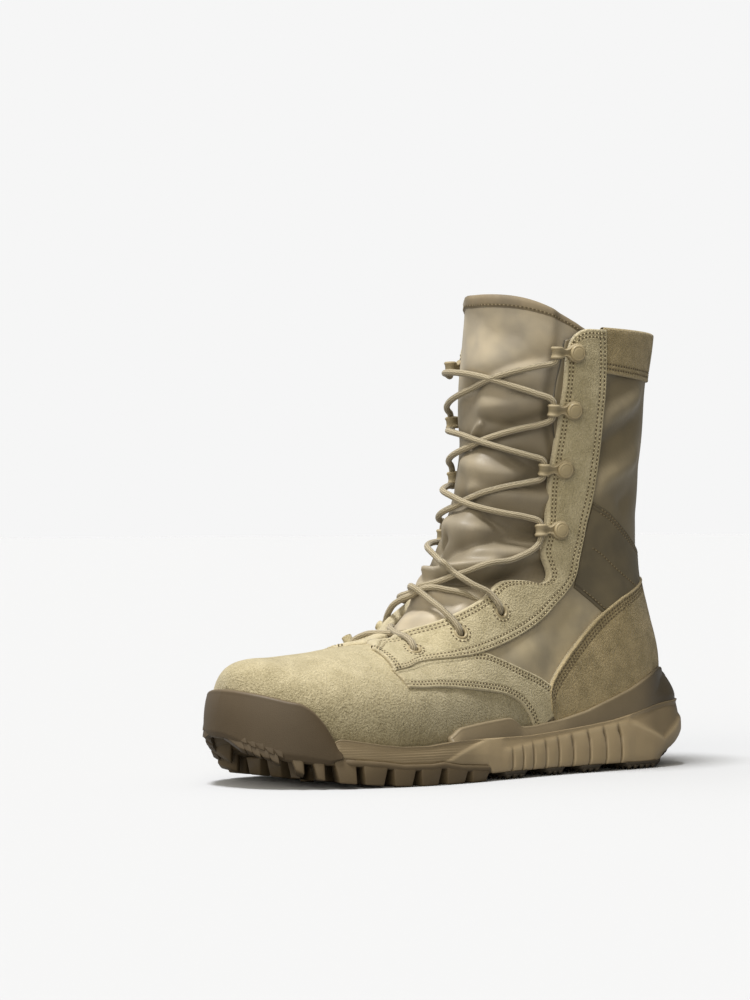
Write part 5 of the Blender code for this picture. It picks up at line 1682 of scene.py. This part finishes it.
def wrapLattice(angles, side, low, top, outerInset, innerInset, edge, steps):
    # closed band round the sole with a rounded upper edge, painted lighter along its top as a highlight
    high = np.maximum(top - low, 0.4)
    radius = np.minimum(edge, high * 0.4)
    z = low + (high - radius) * np.linspace(0, 1, steps)[None, :]
    inset = outerInset(side, z)
    bend = np.linspace(0, math.pi / 2, 6)[None, 1:]
    inset = np.concatenate([inset, inset[:, -1:] + radius * (1 - np.cos(bend))], 1)
    z = np.concatenate([z, z[:, -1:] + radius * np.sin(bend)], 1)
    down = np.concatenate([z[:, -1:], (z[:, -1:] + z[:, :1]) / 2, z[:, :1]], 1)
    inner = np.maximum(innerInset(side, down), inset[:, -1:] + 0.2)
    inset = np.concatenate([inset, inner, inset[:, :1]], 1)
    z = np.concatenate([z, down, z[:, :1]], 1)
    x, s = outlineAt(angles, side, inset)
    # painted highlight along the top edge
    rim = 0.7 * np.clip(1 - (top - z) / 1.2, 0, 1)
    rim[:, -4:] = 0
    return {"outer": np.stack([x, s, z], -1), "masks": {"rim": rim, "grime": 0.0}}


cradlePiece = {
    "stations": 240,
    "steps": 22,
    "edge": 1.2,
    "footThickness": 5.2,
    "lipThickness": 2.0,
    "overCounter": 1.5,
    "inside": 0.5,
}


def makeCradle():
    c = cradlePiece
    angles = np.linspace(0, float(phaseOf(sole["cradleTop"][-1][0])), c["stations"])[:, None]
    s = lengthAt(angles)
    low = soleAt("rim", s) - 0.2
    top = sum(table(sole["cradleTop"], s + step) for step in (-1.5, 0, 1.5)) / 3

    def outerInset(side, z):
        share = np.clip((z - low) / np.maximum(top - low, 1), 0, 1)
        lip = c["lipThickness"] + c["overCounter"] * fall(s, 122, 16)
        thickness = c["footThickness"] + (lip - c["footThickness"]) * share**1.2
        inset = insetToUpper(angles, side, z) - thickness
        swollen = 4.6 + 9.5 * np.clip((z - 38) / 16, 0, 1) ** 1.5
        return inset + np.minimum(0, swollen - inset) * heelShare(s)

    def innerInset(side, z):
        return insetToUpper(angles, side, z) + c["inside"]

    lattices = []
    for side in (lateral, medial):
        lattice = wrapLattice(angles, side, low, top, outerInset, innerInset, c["edge"], c["steps"])
        # painted shade round the back of the heel
        lattice["masks"]["grime"] = 0.95 * fall(s, 58, 30)
        lattices.append(lattice)
    finishPiece("heelCradle", solidFrom(lattices), "cradle", ["heel_cradle"])


bumperPiece = {"stations": 150, "steps": 30, "edge": 1.9, "lipThickness": 2.6, "tuck": 0.9, "inside": 0.4}


def makeBumper():
    b = bumperPiece
    angles = np.linspace(float(phaseOf(sole["bumperTop"][0][0])), math.pi, b["stations"])[:, None]
    s = lengthAt(angles)
    lows = {side: soleAt("underside", s, side) + 0.2 - 2.6 * rise(s, 263, 8) for side in (lateral, medial)}
    top = cubicAt(*zip(*sole["bumperTop"]), s)

    def toUpper(side, z):
        return insetToUpper(angles, side, np.maximum(z, footbed(s) + 2))

    def outerInset(side, z):
        share = np.clip((z - lows[side]) / np.maximum(top - lows[side], 1), 0, 1)
        atTop = np.maximum(0, toUpper(side, top) - b["lipThickness"])
        inset = np.clip(atTop * share**3.2, 0, np.maximum(0, toUpper(side, z) - 1.5))
        return inset + b["tuck"] * fall(share, 0.12, 0.12)

    def innerInset(side, z):
        return toUpper(side, z) + b["inside"]

    lattices = [
        wrapLattice(angles, side, lows[side], top, outerInset, innerInset, b["edge"], b["steps"])
        for side in (lateral, medial)
    ]
    finishPiece("toeBumper", solidFrom(lattices), "bumper", ["toe_bumper"])


# Tread: slab and lugs under the forefoot, pads under heel and arch
treadPiece = {
    "slabStart": 173.0,
    "slabStations": 150,
    "edgeLugs": [(173.5, 187), (190, 205), (208.5, 222), (225, 238), (241, 254)],
    "toeEdgeLugs": [(257.5, 269), (272.5, 279), (281.5, 288)],
    # start, width and height above the foot of the small teeth round the toe
    "toeTeeth": [
        (291, 2.4, 0.0), (294.2, 2.2, 0.4), (297, 1.9, 0.0), (299.4, 1.7, 0.3), (301.4, 1.4, 0.0),
        (289.6, 2.0, 3.8), (292.8, 1.8, 3.3), (295.8, 1.6, 3.8), (298.4, 1.4, 3.4), (300.8, 1.2, 3.6),
    ],
    "innerTeeth": [
        (279.5, 2.8, 0.0), (283.5, 2.6, 0.4), (287.4, 2.5, 0.0), (281.6, 2.4, 3.6), (285.6, 2.2, 3.2),
    ],
    "edgeWidth": 17.0,
    "middleLugs": [(178, 190), (195, 207), (212, 224), (229, 241), (246, 257), (262, 272)],
    "middlePitch": 17.0,
    "middleHalf": 6.0,
    "draft": 1.5,
    "lugBevel": 0.9,
    "smallBevel": 0.35,
    "pads": {"heel": (40, 66), "waist_rear": (84, 100), "waist_front": (112, 126), "arch": (142, 160)},
    "padWidth": 24.0,
    "narrowPads": 0.7,
    "blockPitch": 5.2,
    "blockGap": 0.9,
    "rearPad": (9, 36),
    "rearStations": 60,
}


def addBlock(bm, corners):
    # tapered block from its top four and bottom four corners
    block = bmesh.ops.create_cube(bm, size=2.0)["verts"]
    order = {(-1, -1): 0, (1, -1): 1, (1, 1): 2, (-1, 1): 3}
    for vert in block:
        x, y, z = (round(c) for c in vert.co)
        vert.co = toFrame(corners[order[x, y] + (0 if z > 0 else 4)])


def edgeBlock(bm, start, end, side, near, far, top, bottom, slant=0.0, foot=None):
    # block beside the sole's edge, between two insets; its foot is narrower and may slant back
    draft, corners = treadPiece["draft"], []
    foot = near + draft if foot is None else foot
    for level, taper, back, edge in ((top, 0.0, 0.0, near), (bottom, draft, slant, foot)):
        first, final, inner = start - back + taper, end - back - taper, far - taper
        for s, inset in ((first, edge), (final, edge), (final, inner), (first, inner)):
            x, place = outlineAt(phaseOf(s), side, inset)
            corners.append((float(x), float(place), float(level(place))))
    addBlock(bm, corners)


def bevelAll(bm, offset, segments=2):
    settings = {"profile": 0.5, "affect": "EDGES", "material": -1}
    bmesh.ops.bevel(bm, geom=bm.edges[:], offset=offset * mm, segments=segments, **settings)


def slabLow(s, side=lateral):
    return soleAt("underside", s, side) - sole["slab"]


def lugTop(s):
    return slabLow(s) + 1.2


def slabProfile(angle, side):
    s = lengthAt(angle)
    top, low = soleAt("underside", s, side) + 0.1, slabLow(s, side)
    hidden = 1.8 * rise(s, 258, 8)
    inset = np.concatenate([column + hidden for column in (12, 2.0, 0.9, 0.4, 0.15, 0.15, 0.6, 8)], 1)
    z = np.concatenate([low, low, low + 0.3, low + 0.9, low + 1.4, top - 0.4, top, top], 1)
    # painted highlight along the slab's top edge, fading at the toe
    rim = np.clip((z - top + 0.8) / 0.8, 0, 1) * 0.7 * fall(s, 258, 10)
    return inset, z, {"rim": rim, "grime": 0.0}


def makeOutsole():
    tread = treadPiece
    draft = tread["draft"]
    angles = np.linspace(float(phaseOf(tread["slabStart"])), math.pi, tread["slabStations"])
    slab = solidFrom([ringLattice(angles, slabProfile)])
    finishPiece("outsoleSlab", slab, "rubber", ["outsole_forefoot"])
    lugs, teeth = bmesh.new(), bmesh.new()
    for side in (lateral, medial):
        curled = lambda s: ground(s + toeShift(s, side))
        root = lambda s: soleAt("underside", s, side) + 3.5
        for start, end in tread["edgeLugs"]:
            edgeBlock(lugs, start, end, side, 0.0, tread["edgeWidth"], lugTop, ground)
        for start, end in tread["toeEdgeLugs"]:
            # these grow out of the bumper and lean back
            edgeBlock(lugs, start, end, side, 1.6, 13.0, root, curled, 2.0, -0.3)
        for start, width, above in tread["toeTeeth"] + (tread["innerTeeth"] if side == medial else []):
            foot = lambda s: np.minimum(curled(s), slabLow(s, side)) - 0.4 + above
            head = lambda s: foot(s) + 5.2
            edgeBlock(teeth, start, start + width + 2 * draft, side, 0.3, 5.0, head, foot, 2.2, -0.5)
    for start, end in tread["middleLugs"]:
        edges = [float(outlineAt(phaseOf((start + end) / 2), side)[0]) for side in (lateral, medial)]
        for column in (-1, 0, 1):
            corners, x = [], sum(edges) / 2 + column * tread["middlePitch"]
            for level, taper in ((lugTop, 0.0), (ground, draft)):
                half, first, final = tread["middleHalf"] - taper, start + taper, end - taper
                for across, s in ((half, first), (half, final), (-half, final), (-half, first)):
                    corners.append((x + across, s, float(level(s))))
            addBlock(lugs, corners)
    bevelAll(lugs, tread["lugBevel"])
    finishPiece("forefootLugs", lugs, "rubber", [], weld=False)
    bevelAll(teeth, tread["smallBevel"])
    finishPiece("toeTeeth", teeth, "bumper", [], weld=False)


def padTop(s):
    return soleAt("underside", s) + 0.2


def makePad(name, word, side, start, end):
    # plate with rows of small blocks under it
    tread, bm = treadPiece, bmesh.new()
    width = tread["padWidth"] * (1 if name == "heel" else tread["narrowPads"])
    edgeBlock(bm, start, end, side, 0.6, width, padTop, lambda s: ground(s) + 1.7)
    rows, columns = (max(2, round(size / tread["blockPitch"])) for size in (end - start, width))
    stepS, stepX = (end - start - 2) / rows, (width - 2) / columns
    for i in range(rows):
        for j in range(columns):
            first, near = start + 1 + stepS * i, 1.2 + stepX * j
            final, far = first + stepS - tread["blockGap"], near + stepX - tread["blockGap"]
            edgeBlock(bm, first, final, side, near, far, lambda s: ground(s) + 2.4, ground)
    bevelAll(bm, tread["smallBevel"], 1)
    finishPiece(f"{name}Pad_{word}", bm, "tread", [f"{name}_pad_{word}"], weld=False)


def rearProfile(angle, side):
    s = lengthAt(angle)
    low, high = padTop(s) - 3.6, padTop(s)
    bevel = heelBevel(s, low + 2.5)
    inset = np.concatenate([column + bevel for column in (18, 3.6, 2.7, 2.4, 2.4, 18)], 1)
    groove = 0.9 * (np.sin(s * 2 * math.pi / treadPiece["blockPitch"]) > 0.55)
    foot = low + groove
    z = np.concatenate([foot, foot, foot + 0.5, low + 1.2 + groove * 0.6, high, high], 1)
    return inset, z, plainMasks


def makePads():
    tread = treadPiece
    for word, side in sideNames.items():
        for name, span in tread["pads"].items():
            makePad(name, word, side, *span)
    angles = np.linspace(*(float(phaseOf(s)) for s in tread["rearPad"]), tread["rearStations"])
    rear = solidFrom([ringLattice(angles, rearProfile)])
    finishPiece("heelRearPad", rear, "tread", ["heel_rear_pad"])
    print("sole ready")


upperShell = makeUpper()
for side in (lateral, medial):
    cutEyelets(upperShell, side)
makeTongue()
bindingSeams = makeTongueBinding()
seams, dimSeams = makeOverlays()
makeStitches("stitching", seams, "thread")
makeStitches("dimStitching", dimSeams + bindingSeams, "dimThread")
makeFoam()
makeInsole()
makeCradle()
makeBumper()
makeOutsole()
makePads()
makeHardware()
makeLace()

# Camera, light and floor
stage = {
    "turn": 50.0,
    "place": (1.3514, -1.1889, 0.141),
    "lens": 122.0,
    "sensor": 36.0,
    "shift": 0.008,
    "sunFrom": (0.04, -0.24, 1.0),
    "sunAngle": 14.0,
    "sunStrength": 3.3,
    "sunColour": (1.0, 1.0, 1.0),
    "fillFrom": (0.55, -0.8, 0.4),
    "fillAngle": 60.0,
    "fillStrength": 1.4,
    "fillColour": (1.0, 0.93, 0.78),
    "skyColour": (1.0, 0.96, 0.88),
    "skyWay": (-0.4, -0.55, 0.4),
    "skyRange": (-0.15, 0.8),
    "skyLevels": (0.17, 0.85),
    "backdrop": (0.9215, 0.9215, 0.9215),
    "floorSize": 12.0,
    "floorRoughness": 0.9,
    "floorSeen": (0.555, 0.565, 0.585),
    "floorBounce": (0.25, 0.25, 0.25),
}


def addCamera():
    turn = math.radians(stage["turn"])
    right, ahead = Vector((math.cos(turn), math.sin(turn), 0)), Vector((-math.sin(turn), math.cos(turn), 0))
    camera = bpy.data.cameras.new("camera")
    camera.lens, camera.sensor_width, camera.shift_y = stage["lens"], stage["sensor"], stage["shift"]
    camera.clip_start, camera.clip_end = 0.05, 60.0
    matrix = Matrix((right, Vector((0, 0, 1)), -ahead)).transposed().to_4x4()
    matrix.translation = stage["place"]
    eye = addObject("camera", camera)
    eye.matrix_world = matrix
    bpy.context.scene.camera = eye


def seenOr(tree, seen, thrown):
    # one colour for the camera, another for the light it throws
    seenDirectly = addNode(tree, "ShaderNodeLightPath").outputs["Is Camera Ray"]
    return mixColours(tree, seenDirectly, thrown, seen)


def addLight():
    for name in ("sun", "fill"):
        light = bpy.data.lights.new(name, "SUN")
        light.energy, light.angle = stage[name + "Strength"], math.radians(stage[name + "Angle"])
        light.color = stage[name + "Colour"]
        lamp = addObject(name, light)
        lamp.rotation_euler = Vector(stage[name + "From"]).to_track_quat("Z", "Y").to_euler()
    world = bpy.data.worlds.new("studio")
    bpy.context.scene.world = world
    world.use_nodes = True
    tree = world.node_tree
    coords = addNode(tree, "ShaderNodeTexCoord").outputs
    parts = addNode(tree, "ShaderNodeSeparateXYZ", {0: coords["Generated"]}).outputs
    # brighter ahead of the toe and above, dim behind the heel
    level = 0.0
    for part, share in zip(parts, stage["skyWay"]):
        level = scaled(tree, part, share, level)
    soft = spread(tree, level, *stage["skyRange"], *stage["skyLevels"])
    sky = mixColours(tree, 1.0, soft, stage["skyColour"], "MULTIPLY")
    feed(tree, tree.nodes["Background"].inputs["Color"], seenOr(tree, stage["backdrop"], sky))


def addFloor():
    bm = bmesh.new()
    bmesh.ops.create_grid(bm, x_segments=1, y_segments=1, size=stage["floorSize"])
    mesh = meshFrom("floor", bm)
    material, tree, shader, _ = startMaterial("paleFloor", 0.0)
    feed(tree, shader["Roughness"], stage["floorRoughness"])
    feed(tree, shader["Base Color"], seenOr(tree, stage["floorSeen"], stage["floorBounce"]))
    mesh.materials.append(material)
    floor = addObject("floor", mesh)


addCamera()
addLight()
addFloor()
bpy.context.scene.view_settings.view_transform = "Standard"
print("stage ready")
